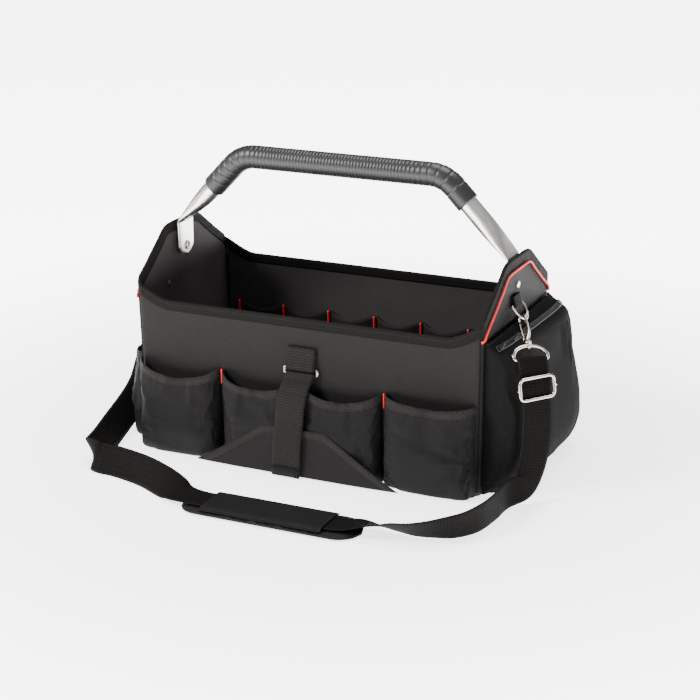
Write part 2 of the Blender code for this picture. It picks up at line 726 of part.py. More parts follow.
def build_front_pockets():
    for name, left, right, tall, sag, deep in FRONT_POCKETS:
        edge = DIVIDER_WIDTH / 2 + CLEARANCE
        rows = pocket_rows("front", left * HALF_LENGTH + edge, right * HALF_LENGTH - edge,
                           tall * POCKET_HEIGHT, sag, deep * POCKET_DEPTH)
        sheet(name, rows, POCKET_CLOTH, "cloth")
    for number, share in enumerate((FRONT_POCKETS[0][2], FRONT_POCKETS[3][1]), start=1):
        spot = on_wall("front", share * HALF_LENGTH, CLEARANCE + RED_TAB_STANDOUT / 2,
                       POCKET_HEIGHT - RED_TAB_HEIGHT / 2)
        block("front_red_tab_%d" % number, spot, (DIVIDER_WIDTH, RED_TAB_STANDOUT, RED_TAB_HEIGHT), "red", edge=0)


def flap_out(along, height):
    """How far the flap stands out from the front wall."""
    share = height / FLAP_HEIGHT
    return POCKET_DEPTH * 1.03 + 4 * CLEARANCE + mix(0.003, 0.0, share) * (1 - (along / FLAP_BASE_WIDTH * 2) ** 4)


def build_flap():
    """Wide low pocket whose top and slanting sides run down to the base."""
    rows = []
    for share in (0.0, 0.2, 0.45, 0.7, 1.0):
        height = mix(POCKET_FLOOR, FLAP_HEIGHT, share)
        half = mix(FLAP_BASE_WIDTH, FLAP_TOP_WIDTH, share ** 0.92) / 2
        rows.append([on_wall("front", half * step / 4, flap_out(half * step / 4, height), height)
                     for step in range(-4, 5)])
    sheet("front_flap_pocket", rows, FLAP_CLOTH, "cloth", offset=1.0)


def bar_wrap(bar, start_deg, end_deg, radius, steps=5):
    """Points of out and height around a bar, from one angle to another."""
    return [(bar[0] + radius * math.cos(math.radians(mix(start_deg, end_deg, step / steps))),
             bar[1] + radius * math.sin(math.radians(mix(start_deg, end_deg, step / steps))))
            for step in range(steps + 1)]


def web_on_wall(name, side, route, width, thickness=WEB_THICKNESS, finish="webbing"):
    """Webbing whose route is given as along, out and height on a wall."""
    across = WALLS[side][0]
    stations = [(on_wall(side, along, out, height), across) for along, out, height in route]
    return band(name, stations, width, thickness, finish)


def ring_bars():
    """Out and height of the upper and lower bar of the front ring."""
    wrap = RING_WIRE + CLEARANCE + WEB_THICKNESS / 2
    out = CLEARANCE + WEB_THICKNESS / 2 + wrap
    return (out, RING_HEIGHT + RING_BAR_SPACING / 2), (out, RING_HEIGHT - RING_BAR_SPACING / 2), wrap


def build_front_strap():
    upper, lower, wrap = ring_bars()
    back_layer = CLEARANCE + WEB_THICKNESS / 2
    front_layer = back_layer + WEB_THICKNESS + CLEARANCE
    loop = [(front_layer, STRAP_TOP), (front_layer, upper[1] + 0.014)]
    loop += bar_wrap(upper, 0, -180, wrap)
    loop += [(back_layer, upper[1] + 0.008), (back_layer, STRAP_TOP - 0.002)]
    web_on_wall("front_strap_loop", "front", [(0.0, out, height) for out, height in loop], WEB_WIDTH)

    half = RING_WIDTH / 2
    outline = rounded_rectangle(2 * half, RING_BAR_SPACING, RING_BAR_SPACING / 4, steps=2)
    wire("front_strap_ring", [on_wall("front", x, upper[0], RING_HEIGHT + z) for x, z in outline], RING_WIRE,
         "nickel", cyclic=True)

    over_pockets = POCKET_DEPTH * 1.06 + WEB_THICKNESS
    over_flap = over_pockets + FLAP_CLOTH + 0.0045
    drop = [(back_layer, lower[1] - 0.0075), (back_layer, lower[1] - 0.003)]
    drop += bar_wrap(lower, 180, 0, wrap)
    drop += [(wrap + upper[0] + 0.004, lower[1] - 0.005), (over_pockets * 0.72, lower[1] - 0.014),
             (over_pockets, POCKET_HEIGHT * 0.80), (over_pockets + 0.002, FLAP_HEIGHT * 1.15),
             (over_flap, FLAP_HEIGHT * 0.72), (over_flap + 0.001, FLAP_HEIGHT * 0.3),
             (over_flap + 0.001, 2 * POCKET_FLOOR)]
    shift = [-FRONT_STRAP_SLANT * min(max((lower[1] - z) / lower[1], 0.0), 1.0) for _, z in drop]
    web_on_wall("front_strap", "front", [(x, out, z) for x, (out, z) in zip(shift, drop)], WEB_WIDTH)
    label_out = over_flap + 0.001 + (WEB_THICKNESS + LABEL_THICKNESS) / 2 + 2 * CLEARANCE
    label = [(-FRONT_STRAP_SLANT, label_out, height) for height in (2 * POCKET_FLOOR, LABEL_HEIGHT)]
    web_on_wall("front_label", "front", label, WEB_WIDTH * 0.92, LABEL_THICKNESS, "cloth")


def inner_tab_places():
    span = LENGTH - 2 * INNER_MARGIN
    return [INNER_SHIFT - span / 2 + span * index / (INNER_TAB_COUNT - 1) for index in range(INNER_TAB_COUNT)]


def build_inner_row():
    """One strip sewn to the back wall at each red tab and standing off between them."""
    places = inner_tab_places()
    steps = 4
    columns = []
    for left, right in zip(places, places[1:]):
        for step in range(steps + 1):
            x = mix(left + INNER_TAB_WIDTH, right - INNER_TAB_WIDTH, step / steps)
            columns.append((x, math.sin(math.pi * step / steps) if 0 < step < steps else 0.0))
    columns = [(places[0] - 2 * INNER_TAB_WIDTH, 0.0)] + columns + [(places[-1] + 2 * INNER_TAB_WIDTH, 0.0)]
    rows = []
    for share in (0.0, 0.5, 1.0):
        row = []
        for x, stand in columns:
            height = mix(WALL_FOOT, INNER_HEIGHT - INNER_SCALLOP * stand, share)
            inside = WALL + SEAM_GAP + INNER_CLOTH + INNER_DEPTH * stand ** 0.6 * mix(0.75, 1.0, share)
            row.append(on_wall("back", -x, -inside, height))
        rows.append(row)
    sheet("inner_pocket_row", rows, INNER_CLOTH, "cloth")
    for number, x in enumerate(places, start=1):
        out = WALL + SEAM_GAP + 2 * CLEARANCE + INNER_CLOTH + RED_TAB_STANDOUT / 2
        spot = on_wall("back", -x, -out, INNER_HEIGHT - RED_TAB_HEIGHT / 2)
        block("inner_red_tab_%d" % number, spot, (INNER_TAB_WIDTH, RED_TAB_STANDOUT, RED_TAB_HEIGHT), "red", edge=0)


def closed_pocket_point(row, step, steps):
    """A point of the zipped pocket on the right end, by row of its profile and step from front to back."""
    rise, reach_front, reach_back, square = CLOSED_PROFILE[row]
    phase = math.pi * step / steps
    stand = power(math.sin(phase), square) if 0 < step < steps else 0.0
    along = -END_WIDTH / 2 * power(math.cos(phase), square if 0 < step < steps else 1.0)
    reach = mix(reach_front, reach_back, 0.5 + along / END_WIDTH)
    return on_wall("right", along, SEAM_GAP + END_DEPTH * reach * stand, END_HEIGHT * rise)


def build_end_pockets():
    steps = 12
    rows = [[closed_pocket_point(row, step, steps) for step in range(steps + 1)]
            for row in range(len(CLOSED_PROFILE))]
    sheet("right_end_pocket", rows, END_CLOTH, "cloth")

    zipper = []
    for step in range(2, steps - 1):
        here = closed_pocket_point(ZIPPER_ROW, step, steps)
        across = (closed_pocket_point(ZIPPER_ROW - 1, step, steps) - here).normalized()
        ahead = closed_pocket_point(ZIPPER_ROW, step + 1, steps) - closed_pocket_point(ZIPPER_ROW, step - 1, steps)
        up = across.cross(ahead).normalized()
        up = up if up.z > 0 else -up
        zipper.append((here + up * (ZIPPER_THICKNESS / 2 + 0.0012), across))
    band("end_pocket_zipper", zipper, ZIPPER_WIDTH, ZIPPER_THICKNESS, "zip")
    for number, (index, turn) in enumerate(((1, 24), (3, 8)), start=1):
        centre, across = zipper[index]
        ahead = (zipper[index + 1][0] - zipper[index - 1][0]).normalized()
        up = across.cross(ahead).normalized()
        up = up if up.z > 0 else -up
        frame = Matrix((ahead, up.cross(ahead), up)).transposed().to_4x4()
        spin = Matrix.Rotation(math.radians(turn), 4, "Z")
        lift = ZIPPER_THICKNESS / 2 + PULL_THICKNESS / 2 + CLEARANCE * 2
        block("zipper_pull_%d" % number, centre + up * lift, (PULL_LENGTH, PULL_WIDTH, PULL_THICKNESS), "nickel",
              frame @ spin)

    rows = pocket_rows("left", -OPEN_END_WIDTH / 2, OPEN_END_WIDTH / 2, OPEN_END_HEIGHT, OPEN_END_SAG, OPEN_END_DEPTH)
    sheet("left_end_pocket", rows, END_CLOTH, "cloth")


def anchor_bar():
    """Out and height of the straight bar of a D-ring, and the wrap radius of its webbing."""
    wrap = D_WIRE + CLEARANCE + WEB_THICKNESS / 2
    return (CLEARANCE + WEB_THICKNESS / 2 + wrap, ANCHOR_TOP - ANCHOR_LENGTH), wrap


def ring_frame(side):
    """Bar centre, run along the bar, and the direction in which the D-ring hangs."""
    run, face = WALLS[side][0], WALLS[side][1]
    (out, height), _ = anchor_bar()
    offset = ANCHOR_OFFSET * run.y
    lift = math.radians(D_LIFT_DEG)
    return on_wall(side, offset, out, height), run, face * math.sin(lift) - Vector((0, 0, math.cos(lift)))


def bow_point(side, swing_deg):
    """A point of the bow of a D-ring, by its angle from the front end of the bar."""
    bar, run, down = ring_frame(side)
    front = run * (-1 if run.y > 0 else 1) * D_WIDTH / 2
    swing = math.radians(swing_deg)
    return bar + front * math.cos(swing) + down * D_DROP * math.sin(swing) ** 0.8


def ring_seat(side):
    """Where the hook holds the bow, and the direction of the wire there."""
    swing = HOOK_SEAT_DEG if side == "right" else 90.0
    ahead, behind = bow_point(side, swing + 1), bow_point(side, swing - 1)
    return bow_point(side, swing), (ahead - behind).normalized()


def build_anchors():
    for side in ("left", "right"):
        bar, wrap = anchor_bar()
        back_layer = CLEARANCE + WEB_THICKNESS / 2
        front_layer = back_layer + WEB_THICKNESS + CLEARANCE
        along = ANCHOR_OFFSET * WALLS[side][0].y
        route = [(front_layer, ANCHOR_TOP), (front_layer, bar[1] + 0.010)] + bar_wrap(bar, 0, -180, wrap)
        route += [(back_layer, bar[1] + 0.004), (back_layer, ANCHOR_TOP - 0.001)]
        web_on_wall(side + "_ring_webbing", side, [(along, out, height) for out, height in route], ANCHOR_WIDTH)
        points = [bow_point(side, angle) for angle in range(0, 181, 20)]
        wire(side + "_d_ring", points, D_WIRE, "nickel", cyclic=True)


def hook_frame(side):
    """Swivel point, direction up to the ring, sideways direction and facing of a snap hook."""
    seat, tangent = ring_seat(side)
    down = Vector((0.462, -0.836, -0.297)).normalized() if side == "right" else Vector((-0.34, 0.0, -0.94)).normalized()
    facing = (down * tangent.dot(down) - tangent).normalized()
    sideways = facing.cross(down).normalized()
    return seat + down * HOOK_LENGTH, -down, sideways, facing


def build_hook(side):
    """Snap hook as one swept solid: pin head, pin, barrel, arm and nose."""
    swivel, up, sideways, facing = hook_frame(side)
    barrel_foot = LOOP_WIRE + PIN_SLACK
    barrel_top = barrel_foot + BARREL_LENGTH
    wide = HOOK_HALF_WIDTH
    bow = HOOK_LENGTH + D_WIRE + 3 * CLEARANCE + HOOK_WIRE
    head = -LOOP_WIRE - PIN_SLACK
    path = [(0, head - 0.0016, 0.0010), (0, head - 0.0012, 0.0018), (0, head - 0.0001, 0.0018), (0, head, PIN_RADIUS),
            (0, barrel_foot, PIN_RADIUS), (0, barrel_foot + 0.0001, BARREL_RADIUS * 0.85),
            (0, barrel_foot + 0.001, BARREL_RADIUS), (0, barrel_top, BARREL_RADIUS * 0.95),
            (0.001, barrel_top + 0.001, HOOK_WIRE), (wide * 0.85, barrel_top + 0.007, HOOK_WIRE),
            (wide, bow - 0.014, HOOK_WIRE)]
    for angle in (0, 30, 60, 90, 120, 150, 175):
        swing = math.radians(angle)
        path.append((wide * math.cos(swing), bow - wide + wide * math.sin(swing), HOOK_WIRE))
    if side == "right":
        path.append((-wide, bow - wide - 0.0015, HOOK_WIRE * 0.9))
    else:
        path += [(-wide, bow - wide - 0.006, GATE_RADIUS), (-BARREL_RADIUS, barrel_top + 2 * CLEARANCE, GATE_RADIUS)]
    points = [swivel + sideways * across + up * along for across, along, _ in path]
    rings = []
    for point, tangent, (_, _, radius) in zip(points, tangents(points), path):
        lateral = facing.cross(tangent).normalized()
        rings.append([point + (lateral * math.cos(math.pi * k / 3) + facing * math.sin(math.pi * k / 3)) * radius
                      for k in range(6)])
    loft(side + "_snap_hook", rings, "nickel")
    if side == "right":
        tip = (-wide, bow - wide - 0.0035 - GATE_RADIUS)
        pivot = (-1.25 * BARREL_RADIUS, barrel_top + 3 * CLEARANCE)
        ends = [swivel + sideways * across + up * along for across, along in (pivot, tip)]
        gate = wire("hook_gate", [end - ends[0] for end in ends], GATE_RADIUS, "nickel")
        gate.location = ends[0]


def loop_frame(side):
    """Top of the strap loop, its edge-to-edge direction and the direction in which it hangs."""
    swivel = hook_frame(side)[0]
    station = hang_station(side, HANG_RIGHT[0] if side == "right" else HANG_LEFT[-1])
    down = (Vector(station[:3]) - swivel).normalized()
    across = Vector(station[3:])
    return swivel, (across - down * across.dot(down)).normalized(), down


def build_loop(side):
    top, across, down = loop_frame(side)
    half = LOOP_WIDTH / 2
    points = [top + down * LOOP_HEIGHT - across * half, top + down * LOOP_HEIGHT + across * half]
    for angle in range(20, 180, 20):
        swing = math.radians(angle)
        points.append(top + across * half * math.cos(swing) + down * LOOP_HEIGHT * (1 - math.sin(swing) ** 0.75))
    loop = mesh_from_curve(wire(side + "_strap_loop", points, LOOP_WIRE, "nickel", cyclic=True))
    cut(loop, cylinder_cutter(side + "_pin_hole", top, hook_frame(side)[1], PIN_RADIUS + CLEARANCE, 6 * LOOP_WIRE))


def hang_station(side, row):
    out, share, rise, heading, climb = row
    sign = 1 if side == "right" else -1
    spot = Vector((sign * (HALF_LENGTH + out * END_DEPTH), share * HALF_DEPTH, rise * END_HEIGHT))
    return list(spot) + list(direction(heading, climb))


def floor_station(row):
    along, reach, rise, heading, climb = row
    across = direction(heading, climb)
    height = rise * WEB_WIDTH + standing_height(across)
    return [along * HALF_LENGTH, -HALF_DEPTH - reach * STRAP_REACH, height, *across]


def standing_height(across):
    """Height of the middle of a strap whose lower edge touches the floor."""
    return abs(across.z) * WEB_WIDTH / 2 + math.hypot(across.x, across.y) * WEB_THICKNESS / 2 + CLEARANCE


def pad_line():
    """Two ends of the pad's long axis on the floor, and the height of the strap inside it."""
    y = -HALF_DEPTH - 0.985 * STRAP_REACH
    height = PAD_THICKNESS + 3 * CLEARANCE + WEB_THICKNESS / 2
    return Vector((PAD_LEFT, y, 0)), Vector((PAD_LEFT + PAD_LENGTH, y, 0)), height


def build_shoulder_strap():
    """One length of webbing from the right loop over the floor to the left loop."""
    left_end, right_end, height = pad_line()
    flat = list(direction(90, 0))
    rows = [hang_station("right", row) for row in HANG_RIGHT]
    rows += [floor_station(row) for row in FLOOR_ROUTE]
    for share in (0.88, 0.70, 0.50, 0.30, 0.12):
        spot = left_end.lerp(right_end, share)
        rows.append([spot.x, spot.y, height] + flat)
    rows += [floor_station(row) for row in FLOOR_LEFT]
    rows += [hang_station("left", row) for row in HANG_LEFT]
    smooth = catmull(rows, 2)
    centres = [Vector(row[:3]) for row in smooth]
    stations = []
    for row, centre, tangent in zip(smooth, centres, tangents(centres)):
        across = Vector(row[3:])
        across = (across - tangent * across.dot(tangent)).normalized()
        stations.append((Vector((centre.x, centre.y, max(centre.z, standing_height(across)))), across))
    stations = loop_end("right") + stations + loop_end("left")[::-1]
    band("shoulder_strap", stations, WEB_WIDTH, WEB_THICKNESS, "webbing")


def loop_end(side):
    """The end of the strap around its loop, from the tail behind to the front layer."""
    top, across, down = loop_frame(side)
    bar = top + down * LOOP_HEIGHT
    outward = across.cross(down)
    outward = outward if outward.dot(WALLS[side][1]) > 0 else -outward
    wrap = LOOP_WIRE + CLEARANCE + WEB_THICKNESS / 2
    tail = bar + down * 0.016 - outward * (WEB_THICKNESS + CLEARANCE) * 0.8
    turn = [bar + (down * math.sin(math.radians(a)) - outward * math.cos(math.radians(a))) * wrap
            for a in (20, 0, -45, -90, -135, -180)]
    return [(point, across) for point in [tail] + turn]


def build_slide():
    """Rectangular slide on the right hanging part of the strap, with a middle bar behind the webbing."""
    row = HANG_RIGHT[1]
    data = hang_station("right", row)
    centre, across = Vector(data[:3]), Vector(data[3:])
    below, above = Vector(hang_station("right", HANG_RIGHT[2])[:3]), Vector(hang_station("right", HANG_RIGHT[0])[:3])
    down = (below - above).normalized()
    facing = across.cross(down).normalized()
    facing = facing if facing.dot(Vector((1, -1, 0))) > 0 else -facing
    centre += facing * (SLIDE_WIRE + WEB_THICKNESS / 2 + CLEARANCE)
    half, tall, corner = LOOP_WIDTH / 2, SLIDE_HEIGHT / 2, 0.004
    points = []
    for sx, sz, start in ((1, 1, 0), (-1, 1, 90), (-1, -1, 180), (1, -1, 270)):
        for angle in (start, start + 45, start + 90):
            swing = math.radians(angle)
            points.append(centre + across * (sx * (half - corner) + corner * math.cos(swing))
                          - down * (sz * (tall - corner) + corner * math.sin(swing)))
    wire("adjuster_slide", points, SLIDE_WIRE, "nickel", cyclic=True)


def build_pad():
    """Padded rest on the floor with a cover that holds the strap down on it."""
    left_end, right_end, height = pad_line()
    rings = []
    for share in (0.0, 0.02, 0.07, 0.16, 0.5, 0.84, 0.93, 0.98, 1.0):
        edge = min(share, 1 - share)
        wide = PAD_WIDTH / 2 * min(1.0, 0.45 + 0.55 * math.sin(math.pi / 2 * min(edge / 0.14, 1.0)) ** 0.7)
        thick = PAD_THICKNESS * (0.6 if edge == 0 else 1.0)
        centre = left_end.lerp(right_end, share)
        rings.append([centre + Vector((0, wide * across, thick * rise)) for across, rise in
                      ((-1, 0.35), (-0.88, 0.0), (0.88, 0.0), (1, 0.35), (1, 0.7), (0.86, 1.0), (-0.86, 1.0), (-1, 0.7))])
    loft("shoulder_pad", rings, "cloth")
    start = PAD_LEFT + COVER_INSET
    foot = PAD_THICKNESS + CLEARANCE
    crown = height + WEB_THICKNESS / 2 + 2 * CLEARANCE
    rows = []
    for share in (0.0, 0.05, 0.5, 0.95, 1.0):
        x = start + COVER_LENGTH * share
        rows.append([Vector((x, left_end.y + PAD_WIDTH / 2 * across, mix(foot, crown, rise) + COVER_THICKNESS))
                     for across, rise in ((-0.96, 0.0), (-0.86, 0.2), (-0.72, 1.0), (-0.3, 1.0), (0.3, 1.0), (0.72, 1.0),
                                          (0.86, 0.2), (0.96, 0.0))])
    sheet("shoulder_pad_cover", rows, COVER_THICKNESS, "cloth", offset=1.0)


clear_scene()
tote = new_collection("open_top_tool_tote")
cutters = new_collection("cutters", hidden=True)
build_walls()
build_binding()
build_piping()
build_seam_tapes()
build_handle()
build_rivets()
build_front_pockets()
build_flap()
build_front_strap()
build_inner_row()
build_end_pockets()
build_anchors()
for end in ("right", "left"):
    build_hook(end)
    build_loop(end)
build_shoulder_strap()
build_slide()
build_pad()
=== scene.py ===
"""Open-top tool tote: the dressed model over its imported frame.

Lengths are metres and +Z is up. The long front wall faces -Y.
"""
import bisect
import logging
import math
from dataclasses import dataclass, field
from enum import Enum
from typing import Callable, Optional, Sequence, Union

import bpy
from mathutils import Matrix, Vector, noise


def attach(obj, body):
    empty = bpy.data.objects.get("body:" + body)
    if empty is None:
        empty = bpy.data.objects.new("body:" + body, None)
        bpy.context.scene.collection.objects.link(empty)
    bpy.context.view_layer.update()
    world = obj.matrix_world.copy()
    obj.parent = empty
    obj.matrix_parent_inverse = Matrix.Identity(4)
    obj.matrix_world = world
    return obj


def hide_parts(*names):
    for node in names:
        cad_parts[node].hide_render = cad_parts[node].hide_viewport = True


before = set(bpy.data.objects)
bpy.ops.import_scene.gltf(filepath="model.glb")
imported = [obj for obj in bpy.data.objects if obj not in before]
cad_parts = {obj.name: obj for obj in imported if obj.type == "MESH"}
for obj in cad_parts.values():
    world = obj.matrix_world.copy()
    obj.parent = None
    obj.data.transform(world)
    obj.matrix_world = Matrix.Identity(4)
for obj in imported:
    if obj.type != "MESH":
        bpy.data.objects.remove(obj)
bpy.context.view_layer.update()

LOG = logging.getLogger("tool_tote")
Row = list[Vector]
Colour = tuple[float, float, float]
Number = Union[float, "Field"]


CLEARANCE = 0.0003
THREAD_HALF_WIDTH = 0.00060
STITCH_HALF_SHARE = 0.37
FURROW_HALF_WIDTH = 0.0011
# Painted shade: the near-black colour laid in the groove beside each stitch row.
FURROW_PAINTED_SHADE = (0.002, 0.002, 0.002)
STRAP_THREAD = (0.0150, 0.0135, 0.0125)
FINE_PITCH = 0.0021
GRIP_STATION = 0.0007
PHOTO_WIDTH = 700
SENSOR_WIDTH = 36.0
CAMERA_REACH = 150.0
FLOOR_HALF_SIZE = 45.0
WORLD_STRENGTH = 0.30
LIGHT_AIM = Vector((0, 0, 0.12))
LIGHTS = (("key", (-1.7, -1.9, 2.2), 1.0, 175.0), ("fill", (2.4, -1.4, 1.4), 1.2, 10.0),
          ("top", (0.2, 0.6, 2.6), 1.4, 70.0))


class Side(Enum):
    """A wall of the body, named by the way it faces."""

    FRONT = "front"
    RIGHT = "right"
    BACK = "back"
    LEFT = "left"


class Body(Enum):
    """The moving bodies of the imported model."""

    BAG = "bag"
    HANDLE = "handle"
    GATE = "gate"


class Slot(Enum):
    """The material slots of the record."""

    CLOTH = "cloth"
    WEBBING = "webbing"
    RED = "red_trim"
    TUBE = "tube"
    GRIP = "grip"
    NICKEL = "nickel"
    ZIPPER = "zipper"


def mix(low: float, high: float, share: float) -> float:
    """The value a share of the way from low to high."""
    return low + (high - low) * share


def smooth_step(low: float, high: float, value: float) -> float:
    """0 below low, 1 above high, and a soft rise between."""
    share = min(max((value - low) / (high - low), 0.0), 1.0)
    return share * share * (3 - 2 * share)


def power(value: float, exponent: float) -> float:
    """A power that keeps the sign."""
    return math.copysign(abs(value) ** exponent, value)


def ripple(along: float, up: float, seed: float) -> float:
    """Soft unevenness of stretched cloth.

    Args:
        along: Place along the cloth, in waves.
        up: Place up it, in waves.
        seed: Which unevenness.

    Returns:
        The unevenness, mostly between -1 and 1.
    """
    broad = noise.noise(Vector((along, up, seed)))
    fine = noise.noise(Vector((along * 2.7, up * 2.3, seed + 9.0)))
    return broad + 0.45 * fine


def catmull(rows: Sequence[Sequence[float]], steps: int) -> list[list[float]]:
    """A smooth curve through rows of numbers.

    Args:
        rows: The numbers that the curve passes through.
        steps: Points from one row to the next.

    Returns:
        The finer rows.
    """
    result = []
    last = len(rows) - 1
    for index in range(last):
        p0, p1, p2, p3 = rows[max(index - 1, 0)], rows[index], rows[index + 1], rows[min(index + 2, last)]
        for step in range(steps):
            t = step / steps
            result.append([0.5 * (2 * b + (c - a) * t + (2 * a - 5 * b + 4 * c - d) * t * t
                                  + (3 * b - a - 3 * c + d) * t ** 3) for a, b, c, d in zip(p0, p1, p2, p3)])
    result.append(list(rows[last]))
    return result


def tangents(points: Sequence[Vector], closed: bool = False) -> list[Vector]:
    """Directions along a row of points.

    Args:
        points: The points in order.
        closed: Whether the last point meets the first.

    Returns:
        One unit vector for each point.
    """
    count = len(points)
    result = []
    for index in range(count):
        before = points[index - 1] if closed or index > 0 else points[0]
        after = points[(index + 1) % count] if closed or index < count - 1 else points[-1]
        result.append((after - before).normalized())
    return result


def shares(count: int) -> list[float]:
    """Shares from 0 to 1 with both ends, a number of steps apart."""
    return [step / count for step in range(count + 1)]


def turns(count: int) -> list[float]:
    """Angles once round a circle."""
    return [2 * math.pi * index / count for index in range(count)]


def travelled(points: Sequence[Vector]) -> list[float]:
    """The distance along a row of points at each of them.

    Args:
        points: The points in order.

    Returns:
        The distances, from 0.
    """
    run = [0.0]
    for first, second in zip(points, points[1:]):
        run.append(run[-1] + (second - first).length)
    return run


def radial(angle: float) -> Vector:
    """The unit vector of the XZ plane at an angle from +X."""
    return Vector((math.cos(angle), 0, math.sin(angle)))


def direction(heading_deg: float, climb_deg: float) -> Vector:
    """A unit vector from its heading and its climb."""
    heading, climb = math.radians(heading_deg), math.radians(climb_deg)
    return Vector((math.cos(climb) * math.cos(heading), math.cos(climb) * math.sin(heading), math.sin(climb)))


class Field:
    """A shader value that can be used in Python sums."""

    def __init__(self, tree: bpy.types.NodeTree, socket: bpy.types.NodeSocket) -> None:
        """Keeps the tree and the socket."""
        self.tree = tree
        self.socket = socket

    def math(self, operation: str, first: Number, second: Number = 0.0, third: Number = 0.0) -> "Field":
        """One Math node.

        Args:
            operation: The node's operation.
            first: Its first value.
            second: Its second value.
            third: Its third value.

        Returns:
            The node's result.
        """
        node = self.tree.nodes.new("ShaderNodeMath")
        node.operation = operation
        for slot, value in zip(node.inputs, (first, second, third)):
            if isinstance(value, Field):
                self.tree.links.new(value.socket, slot)
            else:
                slot.default_value = value
        return Field(self.tree, node.outputs[0])

    def __add__(self, other: Number) -> "Field":
        """Sum."""
        return self.math("ADD", self, other)

    def __radd__(self, other: Number) -> "Field":
        """Sum from the right."""
        return self.math("ADD", other, self)

    def __sub__(self, other: Number) -> "Field":
        """Difference."""
        return self.math("SUBTRACT", self, other)

    def __rsub__(self, other: Number) -> "Field":
        """Difference from the right."""
        return self.math("SUBTRACT", other, self)

    def __mul__(self, other: Number) -> "Field":
        """Product."""
        return self.math("MULTIPLY", self, other)

    def __rmul__(self, other: Number) -> "Field":
        """Product from the right."""
        return self.math("MULTIPLY", other, self)

    def __truediv__(self, other: Number) -> "Field":
        """Quotient."""
        return self.math("DIVIDE", self, other)

    def __rtruediv__(self, other: Number) -> "Field":
        """Quotient from the right."""
        return self.math("DIVIDE", other, self)

    def sine(self) -> "Field":
        """Sine of the value."""
        return self.math("SINE", self)

    def size(self) -> "Field":
        """The value without its sign."""
        return self.math("ABSOLUTE", self)

    def below(self, limit: Number) -> "Field":
        """1 where the value is below the limit."""
        return self.math("LESS_THAN", self, limit)

    def wrap(self, pitch: float) -> "Field":
        """The share of the way through each pitch."""
        return self.math("FRACT", self / pitch)


class Recipe:
    """A material under construction."""

    def __init__(self, name: str) -> None:
        """Starts a node material.

        Args:
            name: The material's name.
        """
        self.material = bpy.data.materials.new(name)
        self.material.use_nodes = True
        self.tree = self.material.node_tree
        self.shader = self.tree.nodes["Principled BSDF"]

    def node(self, kind: str, settings: Optional[dict] = None, **sockets: object) -> bpy.types.Node:
        """Adds a node.

        Args:
            kind: The node's type.
            settings: Properties that are set before the sockets.
            sockets: Values or fields of its sockets, with underscores for spaces.

        Returns:
            The node.
        """
        node = self.tree.nodes.new(kind)
        for key, value in (settings or {}).items():
            setattr(node, key, value)
        for key, value in sockets.items():
            slot = node.inputs[key.replace("_", " ")]
            if isinstance(value, Field):
                self.tree.links.new(value.socket, slot)
            else:
                slot.default_value = value
        return node

    def out(self, node: bpy.types.Node, name: str) -> Field:
        """A node's output as a field."""
        return Field(self.tree, node.outputs[name])

    def cloth_coordinates(self) -> tuple[Field, Field, Field]:
        """The cloth's own coordinates in metres.

        Returns:
            The vector, along and across.
        """
        grain = self.node("ShaderNodeUVMap", {"uv_map": "cloth"})
        split = self.node("ShaderNodeSeparateXYZ", Vector=self.out(grain, "UV"))
        return self.out(grain, "UV"), self.out(split, "X"), self.out(split, "Y")

    def stretched(self, place: Field, factors: tuple[float, float, float]) -> Field:
        """Coordinates with a factor on each axis.

        Args:
            place: The coordinates.
            factors: The factors of X, Y and Z.

        Returns:
            The stretched coordinates.
        """
        node = self.node("ShaderNodeVectorMath", {"operation": "MULTIPLY"})
        self.tree.links.new(place.socket, node.inputs[0])
        node.inputs[1].default_value = factors
        return self.out(node, "Vector")

    def object_place(self) -> Field:
        """The object's own coordinates in metres."""
        return self.out(self.node("ShaderNodeTexCoord"), "Object")

    def speckle(self, scale: float, detail: float = 2.0, vector: Optional[Field] = None) -> Field:
        """Noise from 0 to 1.

        Args:
            scale: Grains for each metre.
            detail: Finer layers.
            vector: Coordinates, or the object's own.

        Returns:
            The noise.
        """
        place = vector or self.object_place()
        return self.out(self.node("ShaderNodeTexNoise", Vector=place, Scale=scale, Detail=detail), "Fac")

    def blend(self, share: Number, low: Union[Colour, Field], high: Union[Colour, Field]) -> Field:
        """Mixes two colours.

        Args:
            share: 0 for the first, 1 for the second.
            low: The first colour.
            high: The second colour.

        Returns:
            The colour.
        """
        node = self.node("ShaderNodeMix", {"data_type": "RGBA"})
        for slot, value in ((node.inputs[0], share), (node.inputs[6], low), (node.inputs[7], high)):
            if isinstance(value, Field):
                self.tree.links.new(value.socket, slot)
            else:
                slot.default_value = (*value, 1.0) if isinstance(value, tuple) else value
        return Field(self.tree, node.outputs[2])

    def link(self, socket: str, value: Field) -> None:
        """Feeds a socket of the shader."""
        self.tree.links.new(value.socket, self.shader.inputs[socket])

    def set(self, **sockets: object) -> None:
        """Sets sockets of the shader to plain values, with underscores for spaces."""
        for key, value in sockets.items():
            self.shader.inputs[key.replace("_", " ")].default_value = value

    def relief(self, height: Field, depth: float) -> None:
        """Feeds the normal with a relief.

        Args:
            height: The relief from 0 to 1.
            depth: Its depth in metres.
        """
        bump = self.node("ShaderNodeBump", Height=height, Distance=depth, Strength=1.0)
        self.tree.links.new(bump.outputs["Normal"], self.shader.inputs["Normal"])


@dataclass(frozen=True)
class StitchRow:
    """A row of stitches along a cloth, at a distance from its edge."""

    distance: float
    pitch: float = 0.0034
    upright: bool = False

    def mask(self, along: Field, across: Field) -> Field:
        """Where the thread lies.

        Args:
            along: Distance along the cloth.
            across: Distance from the edge.

        Returns:
            1 on the thread and 0 beside it.
        """
        run, side = (across, along) if self.upright else (along, across)
        line = (side - self.distance).size().below(THREAD_HALF_WIDTH)
        return line * (run.wrap(self.pitch) - 0.5).size().below(STITCH_HALF_SHARE)


